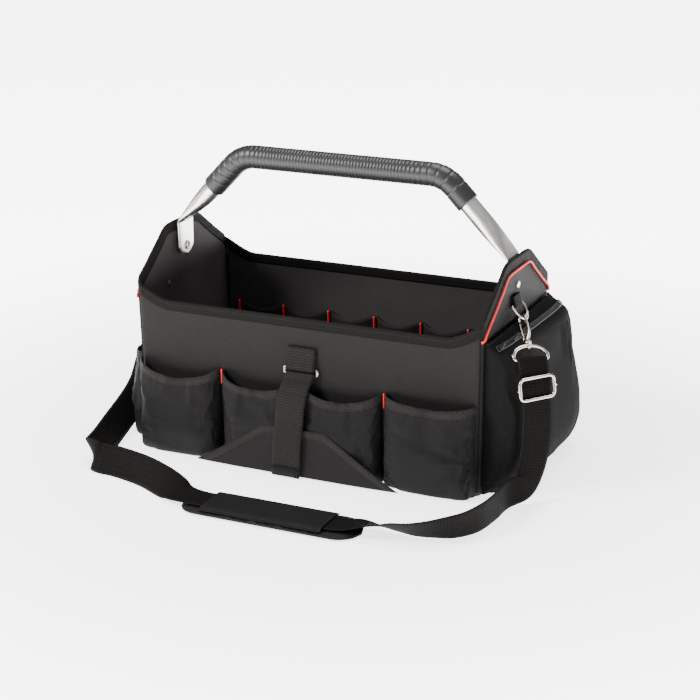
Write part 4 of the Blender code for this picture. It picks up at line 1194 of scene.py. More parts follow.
@dataclass
class Handle:
    """Flattened and bent tube with its ribbed grip and rivets."""

    walls: Walls
    radius: float = 0.0125
    height: float = 0.374
    half_span: float = 0.144
    fold_height: float = 0.279
    bend: float = 0.045
    fold: float = 0.006
    tab_width: float = 0.038
    tab_cloth: float = 0.005
    tab_drop: float = 0.0115
    flare: float = 0.055
    grip_wall: float = 0.0027
    left_reach: float = 0.064
    right_reach: float = 0.046
    rivet_height: float = 0.243
    rib_pitch: float = 0.0045
    left_rings: tuple[float, ...] = (0.018, 0.0125, 0.012, 0.0115, 0.0105, 0.009, 0.0075, 0.0065, 0.006,
                                     0.0055, 0.005)
    right_rings: tuple[float, ...] = (0.024, 0.015, 0.0125, 0.0105, 0.009, 0.0075, 0.0065, 0.006, 0.0055,
                                      0.005)
    sides: int = 36
    lean: float = field(init=False)
    tab_x: float = field(init=False)

    def __post_init__(self) -> None:
        """Works out the place of the tabs and the lean of the legs."""
        gable = self.walls.at(Side.RIGHT, 0.0, -self.walls.cloth, self.fold_height).x
        self.tab_x = gable - 0.0009 - 0.0012 - self.tab_cloth / 2
        leg = Vector((self.half_span - self.tab_x, 0, self.height - self.fold_height)).normalized()
        self.lean = math.atan2(-leg.x, leg.z)

    def build(self) -> None:
        """Makes the tube and the grip, and dresses the rivets."""
        self.make_tube()
        self.make_grip()
        nickel = Metal("rivet_nickel", (0.50, 0.47, 0.42), (0.66, 0.62, 0.56), 0.30).make()
        self.make_rivets(nickel)
        for node in ("small_rivet_1", "small_rivet_2"):
            Bench.dress(node, nickel, 1)

    def make_rivets(self, finish: bpy.types.Material) -> None:
        """Tubular rivets: a rolled ring inside and a domed cap outside.

        Args:
            finish: Their material.
        """
        for side, node in ((Side.LEFT, "left_handle_rivet"), (Side.RIGHT, "right_handle_rivet")):
            face = self.walls.frame_of(side)[1]
            inside = face * (self.tab_x - self.tab_cloth / 2) + Vector((0, 0, self.rivet_height))
            outside = self.walls.at(side, 0.0, 0.0, self.rivet_height)
            span = (outside - inside).dot(face) + 0.0003
            profile = [(0.0, -0.0030), (0.0019, -0.0028), (0.0024, -0.0004), (0.0030, 0.0014),
                       (0.0041, 0.0019), (0.0055, 0.0017), (0.0062, 0.0008), (0.0061, 0.0003),
                       (0.0030, 0.0002), (0.0030, -span), (0.0052, -span), (0.0054, -span - 0.0005),
                       (0.0042, -span - 0.0013), (0.0020, -span - 0.0016), (0.0, -span - 0.0016)]
            piece = Bench.turned(node + "_metal", profile, inside, -face, finish)
            Bench.stand_for(piece, Slot.NICKEL, Body.HANDLE, node)

    def ring(self, point: Vector, angle: float, wide: float, thick: float, square: float, sign: int) -> Row:
        """A rounded ring around the tube's path.

        Args:
            point: Its centre on the right half.
            angle: The turn of its plane.
            wide: Half its width.
            thick: Half its thickness.
            square: 2 for an ellipse, more for a flatter shape.
            sign: -1 for the left half.

        Returns:
            The ring.
        """
        out = radial(angle)
        row = []
        for phase in turns(self.sides):
            spot = point + Vector((0, 1, 0)) * wide * power(math.cos(phase), 2 / square)
            spot += out * thick * power(math.sin(phase), 2 / square)
            row.append(Vector((spot.x * sign, spot.y, spot.z)))
        return row

    def half_path(self) -> tuple[list[tuple], Vector, Vector]:
        """The right half of the tube.

        Returns:
            Ring sizes in order, the bend's corner and the leg's direction.
        """
        fold = Vector((self.tab_x, 0, self.fold_height))
        corner = Vector((self.half_span, 0, self.height))
        leg = (corner - fold).normalized()
        flat, half_tab = self.tab_cloth / 2, self.tab_width / 2
        foot = self.rivet_height - self.tab_drop
        rows = []
        for step in range(9):
            share = math.sin(math.pi / 2 * step / 8)
            rise = 0.012 * (1 - math.sqrt(max(1 - share * share, 0.0)))
            spot = Vector((self.tab_x, 0, foot + rise))
            rows.append((spot, 0.0, half_tab * max(share, 0.2), flat * 0.92, 4.0))
        run = self.fold * math.tan(self.lean / 2)
        for step in range(5):
            angle = self.lean * step / 4
            centre = fold + Vector((-self.fold, 0, -run))
            rows.append((centre + radial(angle) * self.fold, angle, half_tab * 1.03, flat, 4.0))
        for wide, thick, square, share in catmull(((1.0, 0.0, 4.0, 0.0), (0.93, 0.26, 3.4, 0.22),
                                                   (0.68, 0.60, 2.6, 0.45), (0.28, 0.88, 2.2, 0.72),
                                                   (0.0, 1.0, 2.0, 1.0)), 5)[1:]:
            rows.append((fold + leg * (run + self.flare * share), self.lean,
                         mix(self.radius, half_tab * 1.03, wide), mix(flat, self.radius, thick), square))
        turn = math.pi / 2 - self.lean
        centre = corner - leg * self.bend * math.tan(turn / 2) + Vector((-leg.z, 0, leg.x)) * self.bend
        for step in range(15):
            angle = self.lean + turn * step / 14
            rows.append((centre + radial(angle) * self.bend, angle, self.radius, self.radius, 2.0))
        return rows, corner, leg

    def make_tube(self) -> None:
        """The aluminium tube."""
        rows, _, _ = self.half_path()
        left = [self.ring(*row, -1) for row in rows]
        right = [self.ring(*row, 1) for row in rows]
        finish = Metal("brushed_tube", (0.84, 0.81, 0.76), (0.97, 0.94, 0.89), 0.30, depth=0.00004,
                       stretch=(0.12, 1.0, 0.12))
        piece = Bench.grid("handle_tube_metal", left + right[::-1], finish.make(), closed=True, capped=True)
        Bench.stand_for(piece, Slot.TUBE, Body.HANDLE, "handle_tube")

    def grip_line(self) -> list[tuple[Vector, float, int]]:
        """Fine stations of the grip.

        Returns:
            The centre, turn and half of each.
        """
        _, corner, leg = self.half_path()
        turn = math.pi / 2 - self.lean
        start = corner - leg * self.bend * math.tan(turn / 2)
        bend_centre = start + Vector((-leg.z, 0, leg.x)) * self.bend
        line = []
        for sign, reach in ((-1, self.left_reach), (1, self.right_reach)):
            half = []
            end = corner - leg * reach
            count = max(int((start - end).length / GRIP_STATION), 2)
            half += [(end.lerp(start, step / count), self.lean, sign) for step in range(count)]
            count = int(self.bend * turn / GRIP_STATION)
            for step in range(count + 1):
                angle = self.lean + turn * step / count
                half.append((bend_centre + radial(angle) * self.bend, angle, sign))
            edge = half[-1][0]
            count = int(edge.x / GRIP_STATION)
            half += [(Vector((edge.x * (1 - step / count), 0, edge.z)), math.pi / 2, sign)
                     for step in range(1, count + (1 if sign < 0 else 0))]
            line += half if sign < 0 else half[::-1]
        return line

    def make_grip(self) -> None:
        """The rubber sleeve, with fine ribs along its middle and wide rings at its bends."""
        line = self.grip_line()
        run = travelled([Vector((point.x * sign, 0, point.z)) for point, _, sign in line])
        total = run[-1]
        rows = []
        outer = self.radius + CLEARANCE + self.grip_wall
        grooves = self.grooves(total)
        for (point, angle, sign), travel in zip(line, run):
            radius = outer - self.rib_depth(travel, grooves)
            rows.append(self.ring(point, angle, radius, radius, 2.0, sign))
        for index in (0, len(line) - 1):
            point, angle, sign = line[index]
            lip = self.ring(point, angle, self.radius + CLEARANCE, self.radius + CLEARANCE, 2.0, sign)
            rows.insert(0 if index == 0 else len(rows), lip)
        piece = Bench.grid("handle_grip_rubber", rows, Rubber("grip_rubber").make(), closed=True)
        Bench.stand_for(piece, Slot.GRIP, Body.HANDLE, "handle_grip")

    def grooves(self, total: float) -> list[float]:
        """Places of the grooves along the sleeve: wide apart at its bends and close along its middle.

        Args:
            total: Length of the sleeve.

        Returns:
            Distances from its left end, with both ends.
        """
        left, right = [0.0], [0.0]
        for places, steps in ((left, self.left_rings), (right, self.right_rings)):
            for step in steps:
                places.append(places[-1] + step)
        middle = total - left[-1] - right[-1]
        count = round(middle / self.rib_pitch)
        inner = [left[-1] + middle * index / count for index in range(1, count)]
        return left + inner + [total - place for place in right[::-1]]

    def rib_depth(self, travel: float, grooves: Sequence[float]) -> float:
        """How far the sleeve's surface lies below its outer size.

        Args:
            travel: Distance from the left end.
            grooves: Places of the grooves.

        Returns:
            The depth.
        """
        index = min(max(bisect.bisect_right(grooves, travel), 1), len(grooves) - 1)
        low, high = grooves[index - 1], grooves[index]
        from_edge = min(travel - low, high - travel)
        crown = abs((travel - low) / (high - low) * 2 - 1) ** 4
        return 0.0007 * math.exp(-(from_edge / 0.00065) ** 2) + 0.0002 * crown


POCKET_PROFILE = ((0.000, 0.04, 0.60, 0.02), (0.006, 0.60, 0.48, 0.03), (0.05, 0.98, 0.38, 0.08),
                  (0.25, 1.03, 0.36, 0.16), (0.50, 1.03, 0.42, 0.22), (0.75, 0.97, 0.62, 0.12),
                  (1.00, 0.86, 0.86, 0.00))


@dataclass
class OpenPocket:
    """A cloth pocket that stands out from a wall and is open at its top."""

    walls: Walls
    node: str
    side: Side
    left: float
    right: float
    height: float
    sag: float
    depth: float
    cloth: float = 0.002
    hem: float = 0.013
    seed: float = 0.0
    crease: float = 1.0
    slack: float = 0.035

    def build(self) -> None:
        """Makes the pocket."""
        # Painted shade: the pockets get a darker copy of the wall cloth, standing for the shade on them.
        finish = WovenCloth(self.node + "_cloth", (0.0036, 0.0032, 0.0032), (0.0132, 0.0121, 0.0120),
                            hem=0.0108, stitches=(StitchRow(0.0105), StitchRow(0.0018)))
        middle, half = (self.left + self.right) / 2, (self.right - self.left) / 2
        rows = []
        profile = catmull(POCKET_PROFILE, 7)
        count = 44
        for rise, reach, square, inset in profile:
            row = []
            for step in range(count + 1):
                phase = math.pi * step / count
                stand = power(math.sin(phase), max(square, 0.3)) if 0 < step < count else 0.0
                along = middle - half * power(math.cos(phase), square if 0 < step < count else 1.0)
                near = abs(along - middle) / half
                along += math.copysign(inset * self.depth, middle - along) * stand * near ** 2
                sink = self.sag * self.height * (1 - near ** 2) * rise ** 3
                level = 0.001 + rise * (self.height - 0.001) - sink
                out = 0.001 + self.depth * reach * stand + self.fold(along, level, rise, stand)
                out -= self.tuck(along, level)
                row.append(self.walls.at(self.side, along, max(out, 0.001), level))
            rows.append(row)
        piece = Bench.sheet(self.node + "_pouch", rows, self.cloth, finish.make(), rounded=True)
        width, last = count + 1, len(rows) - 1

        def pinned(index: int) -> float:
            """How firmly the seams hold a point.

            Args:
                index: The point's number.

            Returns:
                0 if free, 1 if fixed.
            """
            level, column = divmod(index, width)
            if level < 2 or column < 2 or column > count - 2:
                return 1.0
            return 0.25 if level > last - 4 else 0.0

        Bench.soften(piece, pinned, self.slack, reach=0.0026)
        Bench.stand_for(piece, Slot.CLOTH, Body.BAG, self.node)

    def tuck(self, along: float, level: float) -> float:
        """How far the low flap pocket holds the cloth back.

        Args:
            along: Place along the wall.
            level: Height.

        Returns:
            The distance.
        """
        if self.side is not Side.FRONT:
            return 0.0
        rise = min(max(level / FrontPockets.flap_height, 0.0), 1.0)
        half = mix(FrontPockets.flap_base / 2, FrontPockets.flap_top / 2, rise) + 0.002
        return 0.0016 * smooth_step(0.0, 0.008, half - abs(along)) * (1 - smooth_step(0.060, 0.068, level))

    def fold(self, along: float, level: float, rise: float, stand: float) -> float:
        """Soft folds and the thicker hem.

        Args:
            along: Place along the wall.
            level: Height.
            rise: Height as a share.
            stand: How far the pocket stands out, from 0 to 1.

        Returns:
            The distance further out.
        """
        upright = ripple(along * 38.0, level * 9.0, self.seed) * 0.0012
        slanted = ripple(along * 16.0 + level * 22.0, level * 30.0, self.seed + 3.0) * 0.0013
        hem = 0.0009 * smooth_step(self.height - self.hem - 0.001, self.height - self.hem + 0.001, level)
        near_seam = math.exp(-((1 - stand) / 0.35) ** 2)
        pull = near_seam * ripple(along * 10.0, level * 70.0, self.seed + 6.0) * 0.0010
        calm = smooth_step(0.0, 0.25, rise) * stand
        return (upright + slanted + pull) * self.crease * calm + hem * stand


@dataclass
class FrontPockets:
    """The row of front pockets, their red tabs and the wide low flap pocket."""

    walls: Walls
    height: float = 0.121
    depth: float = 0.027
    flap_height: float = 0.066
    flap_top: float = 0.088
    flap_base: float = 0.292
    edge: float = 0.0018
    table: tuple[tuple[str, float, float, float, float, float], ...] = (
        ("front_pocket_1", -0.992, -0.480, 1.01, 0.115, 1.0),
        ("front_pocket_2", -0.480, 0.000, 1.00, 0.100, 1.0),
        ("front_pocket_3", 0.000, 0.475, 1.00, 0.100, 1.0),
        ("front_pocket_4", 0.475, 0.992, 1.01, 0.040, 0.96))

    def build(self) -> None:
        """Makes the pockets, the flap pocket and the tabs."""
        for seed, (node, left, right, tall, sag, deep) in enumerate(self.table):
            OpenPocket(self.walls, node, Side.FRONT, left * self.walls.half_length + self.edge,
                       right * self.walls.half_length - self.edge, tall * self.height, sag,
                       deep * self.depth, seed=seed * 3.1).build()
        self.make_flap()
        finish = RedTrim("red_tab").make()
        for number, share in enumerate((-0.480, 0.475), start=1):
            TabLoop(self.walls, "front_red_tab_%d" % number, Side.FRONT, share * self.walls.half_length,
                    0.0006, self.height, 0.0030, finish).build()

    def make_flap(self) -> None:
        """The low pocket with its wide hem."""
        rows = []
        for share in shares(26):
            height = mix(0.001, self.flap_height, share)
            half = mix(self.flap_base, self.flap_top, share ** 0.92) / 2
            row = []
            for step in range(49):
                along = half * (step / 24 - 1)
                swell = mix(0.003, 0.0, share) * (1 - (along / self.flap_base * 2) ** 4)
                out = self.depth * 1.03 + 0.0012 + swell
                out += ripple(along * 26.0, height * 28.0, 21.0) * 0.0008 * (1 - abs(step / 24 - 1) ** 4)
                hem = smooth_step(0.0, 0.001, self.flap_height - 0.0100 - height)
                row.append(self.walls.at(Side.FRONT, along, out + 0.0006 * (1 - hem), height))
            rows.append(row)
        finish = WovenCloth("flap_cloth", (0.0042, 0.0038, 0.0037), (0.0150, 0.0138, 0.0134), hem=0.0092,
                            stitches=(StitchRow(0.0090), StitchRow(0.0018))).make()
        piece = Bench.sheet("front_flap_pocket_cloth", rows, 0.0018, finish, offset=1.0, rounded=True)
        self.follow_hem(piece)
        Bench.stand_for(piece, Slot.CLOTH, Body.BAG, "front_flap_pocket")

    def follow_hem(self, piece: bpy.types.Object) -> None:
        """Lets the cloth's second coordinate count from the nearest free edge of the flap.

        Args:
            piece: The flap.
        """
        rise = self.flap_height / math.hypot(self.flap_height, (self.flap_base - self.flap_top) / 2)
        layer = piece.data.uv_layers["cloth"]
        for loop in piece.data.loops:
            spot = piece.data.vertices[loop.vertex_index].co
            share = min(max(spot.z / self.flap_height, 0.0), 1.0)
            half = mix(self.flap_base, self.flap_top, share ** 0.92) / 2
            edge = min(self.flap_height - spot.z, (half - abs(spot.x)) * rise)
            layer.data[loop.index].uv = (spot.x, edge)


@dataclass
class TabLoop:
    """A small folded red tab that stands out from a seam."""

    walls: Walls
    node: str
    side: Side
    along: float
    out: float
    top: float
    width: float
    finish: bpy.types.Material
    height: float = 0.019
    stand: float = 0.0045

    def build(self) -> None:
        """Makes the tab as a flattened loop."""
        rows = []
        for share in shares(8):
            height = self.top - self.height * (1 - share)
            swell = math.sin(math.pi * min(max(share, 0.04), 0.96)) ** 0.35
            row = []
            for turn in turns(12):
                half, deep = self.width / 2, self.stand / 2
                along = self.along + half * power(math.cos(turn), 0.7) * mix(0.8, 1.0, swell)
                out = self.out + deep + deep * power(math.sin(turn), 0.7) * mix(0.85, 1.0, swell)
                row.append(self.walls.at(self.side, along, out, height))
            rows.append(row)
        piece = Bench.grid(self.node + "_loop", rows, self.finish, closed=True, capped=True)
        Bench.stand_for(piece, Slot.RED, Body.BAG, self.node)


@dataclass
class InnerRow:
    """The row of small pockets on the inside of the back wall."""

    walls: Walls
    height: float = 0.134
    scallop: float = 0.007
    depth: float = 0.012
    cloth: float = 0.0016
    margin: float = 0.0315
    shift: float = -0.008
    count: int = 7

    def build(self) -> None:
        """Makes the strip and its tabs."""
        span = 2 * self.walls.half_length - 2 * self.margin
        places = [self.shift - span / 2 + span * index / (self.count - 1) for index in range(self.count)]
        columns = [(places[0] - 0.005, 0.0)]
        for left, right in zip(places, places[1:]):
            columns += [(mix(left + 0.002, right - 0.002, step / 12),
                         math.sin(math.pi * step / 12) if step % 12 else 0.0) for step in range(13)]
        columns.append((places[-1] + 0.005, 0.0))
        rows = []
        for share in shares(24):
            row = []
            for x, stand in columns:
                height = mix(self.walls.foot, self.height - self.scallop * stand, share)
                inside = self.walls.cloth + 0.001 + self.cloth
                inside += self.depth * stand ** 0.6 * mix(0.75, 1.0, share)
                inside += ripple(x * 40.0, height * 25.0, 31.0) * 0.0008 * stand
                row.append(self.walls.at(Side.BACK, -x, -inside, height))
            rows.append(row)
        finish = WovenCloth("inner_cloth", stitches=(StitchRow(0.009), StitchRow(0.0016))).make()
        piece = Bench.sheet("inner_pocket_row_cloth", rows, self.cloth, finish)
        Bench.stand_for(piece, Slot.CLOTH, Body.BAG, "inner_pocket_row")
        red = RedTrim("inner_red_tab").make()
        for number, x in enumerate(places, start=1):
            TabLoop(self.walls, "inner_red_tab_%d" % number, Side.BACK, -x,
                    -(self.walls.cloth + 0.0016 + self.cloth + 0.0045), self.height, 0.0028, red).build()


CLOSED_PROFILE = ((0.006, 0.04, 0.04, 0.8), (0.008, 0.40, 0.46, 0.8), (0.03, 0.58, 0.72, 0.75),
                  (0.075, 0.78, 1.02, 0.6), (0.14, 0.92, 1.18, 0.42), (0.24, 0.99, 1.25, 0.30),
                  (0.40, 1.00, 1.19, 0.24), (0.56, 0.96, 1.05, 0.24), (0.71, 0.80, 0.90, 0.28),
                  (0.86, 0.64, 0.83, 0.34), (0.92, 0.52, 0.76, 0.40), (0.955, 0.32, 0.50, 0.45),
                  (1.00, 0.09, 0.10, 0.5))


@dataclass
class EndPockets:
    """The zipped pocket on the right end and the open pouch on the left end."""

    walls: Walls
    depth: float = 0.050
    height: float = 0.2005
    width: float = 0.226
    zipper_row: int = 11
    zipper_end: int = 8
    cord_top: int = 9
    cord_step: int = 5
    fine: int = 4
    count: int = 48

    def build(self) -> None:
        """Makes both end pockets."""
        self.make_zipped()
        OpenPocket(self.walls, "left_end_pocket", Side.LEFT, -0.112, 0.112, 0.124, 0.03, 0.035, 0.0022,
                   seed=14.0, crease=1.3).build()

    def spot(self, row: Sequence[float], step: int) -> Vector:
        """A point of the zipped pocket.

        Args:
            row: Height share, reach at the front, reach at the back and squareness.
            step: Step from the front to the back.

        Returns:
            The point.
        """
        rise, front, back, square = row
        phase = math.pi * step / self.count
        ends = 0 < step < self.count
        stand = power(math.sin(phase), max(square, 0.2)) if ends else 0.0
        along = -self.width / 2 * power(math.cos(phase), square if ends else 1.0)
        reach = mix(front, back, 0.5 + along / self.width)
        level = self.height * rise
        slack = ripple(along * 14.0, level * 22.0, 40.0) * 0.0016
        slack += ripple(along * 40.0, level * 12.0, 44.0) * 0.0007
        slack *= stand * smooth_step(0.04, 0.2, rise) * (1 - smooth_step(0.84, 0.93, rise))
        return self.walls.at(Side.RIGHT, along, 0.001 + self.depth * reach * stand + slack, level)

    def make_zipped(self) -> None:
        """The zipped pocket, its zipper, its pulls and the cord on its back edge."""
        profile = catmull(CLOSED_PROFILE, self.fine)
        rows = [[self.spot(row, step) for step in range(self.count + 1)] for row in profile]
        # Painted shade: the zipped pocket gets a darker copy of the wall cloth, standing for the shade on its
        # face.
        finish = WovenCloth("end_pocket_cloth", (0.0026, 0.0024, 0.0024), (0.0086, 0.0079, 0.0079),
                            roughness=0.85, stitches=(StitchRow(0.0022),)).make()
        piece = Bench.sheet("right_end_pocket_cloth", rows, 0.0022, finish)
        width, last = self.count + 1, len(rows) - 1
        held, eased = last - 3 * self.fine, last - 4 * self.fine

        def pinned(index: int) -> float:
            """How firmly the seams hold a point.

            Args:
                index: The point's number.

            Returns:
                0 if free, 1 if fixed.
            """
            level, column = divmod(index, width)
            if level < 2 or level > held or column < 2 or column > self.count - 2:
                return 1.0
            return 0.3 if level > eased else 0.0

        Bench.soften(piece, pinned, slack=0.03, reach=0.0026)
        Bench.stand_for(piece, Slot.CLOTH, Body.BAG, "right_end_pocket")
        level = self.zipper_row * self.fine
        stations = []
        for step in range(self.zipper_end, self.count - self.zipper_end + 1):
            here = rows[level][step]
            across = (rows[level - self.fine][step] - here).normalized()
            ahead = (rows[level][step + 1] - rows[level][step - 1]).normalized()
            up = across.cross(ahead).normalized()
            up = up if up.z > 0 else -up
            stations.append((here + up * 0.0018 + across * 0.0004, across))
        coil = ZipperTeeth("zipper_coil").make()
        piece = Bench.ribbon("end_pocket_zipper_coil", stations, 0.0080, 0.0016, coil, 8)
        Bench.stand_for(piece, Slot.ZIPPER, Body.BAG, "end_pocket_zipper")
        cord = Webbing("pocket_edge_cord", (0.003, 0.003, 0.003), (0.011, 0.011, 0.011)).make()
        points = []
        for row in rows[self.fine:self.fine * self.cord_top + 1]:
            spot = row[self.count - self.cord_step]
            points.append(spot + (spot - self.walls.at(Side.RIGHT, 0, 0.01, spot.z)).normalized() * 0.0004)
        piece = Bench.cord("end_pocket_back_cord", points, 0.0016, cord, sides=8)
        Bench.stand_for(piece, Slot.WEBBING, Body.BAG)
        nickel = Metal("zipper_nickel", (0.030, 0.028, 0.026), (0.090, 0.084, 0.078), 0.34).make()
        for node in ("zipper_pull_1", "zipper_pull_2"):
            Bench.dress(node, nickel)


@dataclass
class FrontStrap:
    """Sewn loop, ring and hanging strap in the middle of the front."""

    walls: Walls
    width: float = 0.040
    cloth: float = 0.0018
    top: float = 0.166
    ring_height: float = 0.1345
    ring_wire: float = 0.00175
    spacing: float = 0.0088
    slant: float = 0.010

    @staticmethod
    def wrap(bar: tuple[float, float], start: float, end: float, radius: float) -> list[tuple[float, float]]:
        """Points of out and height around a bar, from one angle to another."""
        angles = [math.radians(mix(start, end, share)) for share in shares(10)]
        return [(bar[0] + radius * math.cos(angle), bar[1] + radius * math.sin(angle)) for angle in angles]

    def lay(self, name: str, node: str, route: list[tuple[float, float]], shift: Callable[[float], float],
            width: float, thickness: float, finish: bpy.types.Material, slot: Slot) -> None:
        """Lays webbing on the front.

        Args:
            name: The piece's name.
            node: The node that it stands for.
            route: Out and height along it.
            shift: Its place along the wall by height.
            width: Its width.
            thickness: Its thickness.
            finish: Its material.
            slot: Its material slot.
        """
        across = self.walls.frame_of(Side.FRONT)[0]
        stations = [(self.walls.at(Side.FRONT, shift(height), out, height), across) for out, height in route]
        piece = Bench.ribbon(name, stations, width, thickness, finish, 10)
        Bench.stand_for(piece, slot, Body.BAG, node)

    def build(self) -> None:
        """Makes the loop, the strap and the blank label, and dresses the ring."""
        reach = self.ring_wire + CLEARANCE + self.cloth / 2
        out = CLEARANCE + self.cloth / 2 + reach
        upper = (out, self.ring_height + self.spacing / 2)
        lower = (out, self.ring_height - self.spacing / 2)
        back = CLEARANCE + self.cloth / 2
        front = back + self.cloth + CLEARANCE
        loop = catmull([(front, self.top), (front, self.top - 0.008), (front, upper[1] + 0.014),
                        (mix(front, out + reach, 0.8), upper[1] + 0.004)], 4)
        loop = [tuple(point) for point in loop] + self.wrap(upper, 0, -180, reach)
        loop += [(back, upper[1] + 0.008), (back, self.top - 0.002)]
        # Painted light: the loop and the hanging strap get a lighter copy of the webbing colours, standing
        # for the light on the front.
        colours = ((0.0050, 0.0045, 0.0043), (0.0240, 0.0220, 0.0208))
        sewn = Webbing("strap_loop_webbing", *colours,
                       stitches=(StitchRow(0.0012, upright=True), StitchRow(0.0220, upright=True),
                                 StitchRow(0.0024), StitchRow(self.width - 0.0024)))
        self.lay("front_strap_loop_webbing", "front_strap_loop", loop, lambda height: 0.0, self.width,
                 self.cloth, sewn.make(), Slot.WEBBING)
        low = FrontPockets.flap_height
        over = FrontPockets.depth * 1.06 + self.cloth
        flap = over + 0.002 + 0.0045
        fall = catmull([(out + reach + 0.004, lower[1] - 0.005), (over * 0.72, lower[1] - 0.014),
                        (over, FrontPockets.height * 0.80), (over + 0.002, low * 1.15), (flap, low * 0.72),
                        (flap + 0.001, low * 0.3), (flap + 0.001, 0.002)], 6)
        drop = [(back, lower[1] - 0.0075), (back, lower[1] - 0.003)] + self.wrap(lower, 180, 0, reach)
        drop += [tuple(point) for point in fall]

        def shift(height: float) -> float:
            """Place of the strap along the wall."""
            return -self.slant * min(max((lower[1] - height) / lower[1], 0.0), 1.0)

        plain = Webbing("front_strap_webbing", *colours,
                        stitches=(StitchRow(0.044, upright=True), StitchRow(0.050, upright=True)))
        self.lay("front_strap_webbing", "front_strap", drop, shift, self.width, self.cloth, plain.make(),
                 Slot.WEBBING)
        label_out = flap + 0.001 + (self.cloth + 0.0008) / 2 + 0.0006
        label = WovenCloth("label_cloth", (0.003, 0.003, 0.0032), (0.010, 0.010, 0.0105), pitch=0.0007,
                           stitches=(StitchRow(0.0012), StitchRow(0.0355)))
        route = [(label_out, height) for height in (0.002, 0.008, 0.015)]
        self.lay("front_label_cloth", "front_label", route, lambda height: -self.slant, self.width * 0.92,
                 0.0008, label.make(), Slot.CLOTH)
        nickel = Metal("strap_ring_nickel", (0.42, 0.39, 0.34), (0.70, 0.66, 0.60), 0.26).make()
        Bench.dress("front_strap_ring", nickel, 2)


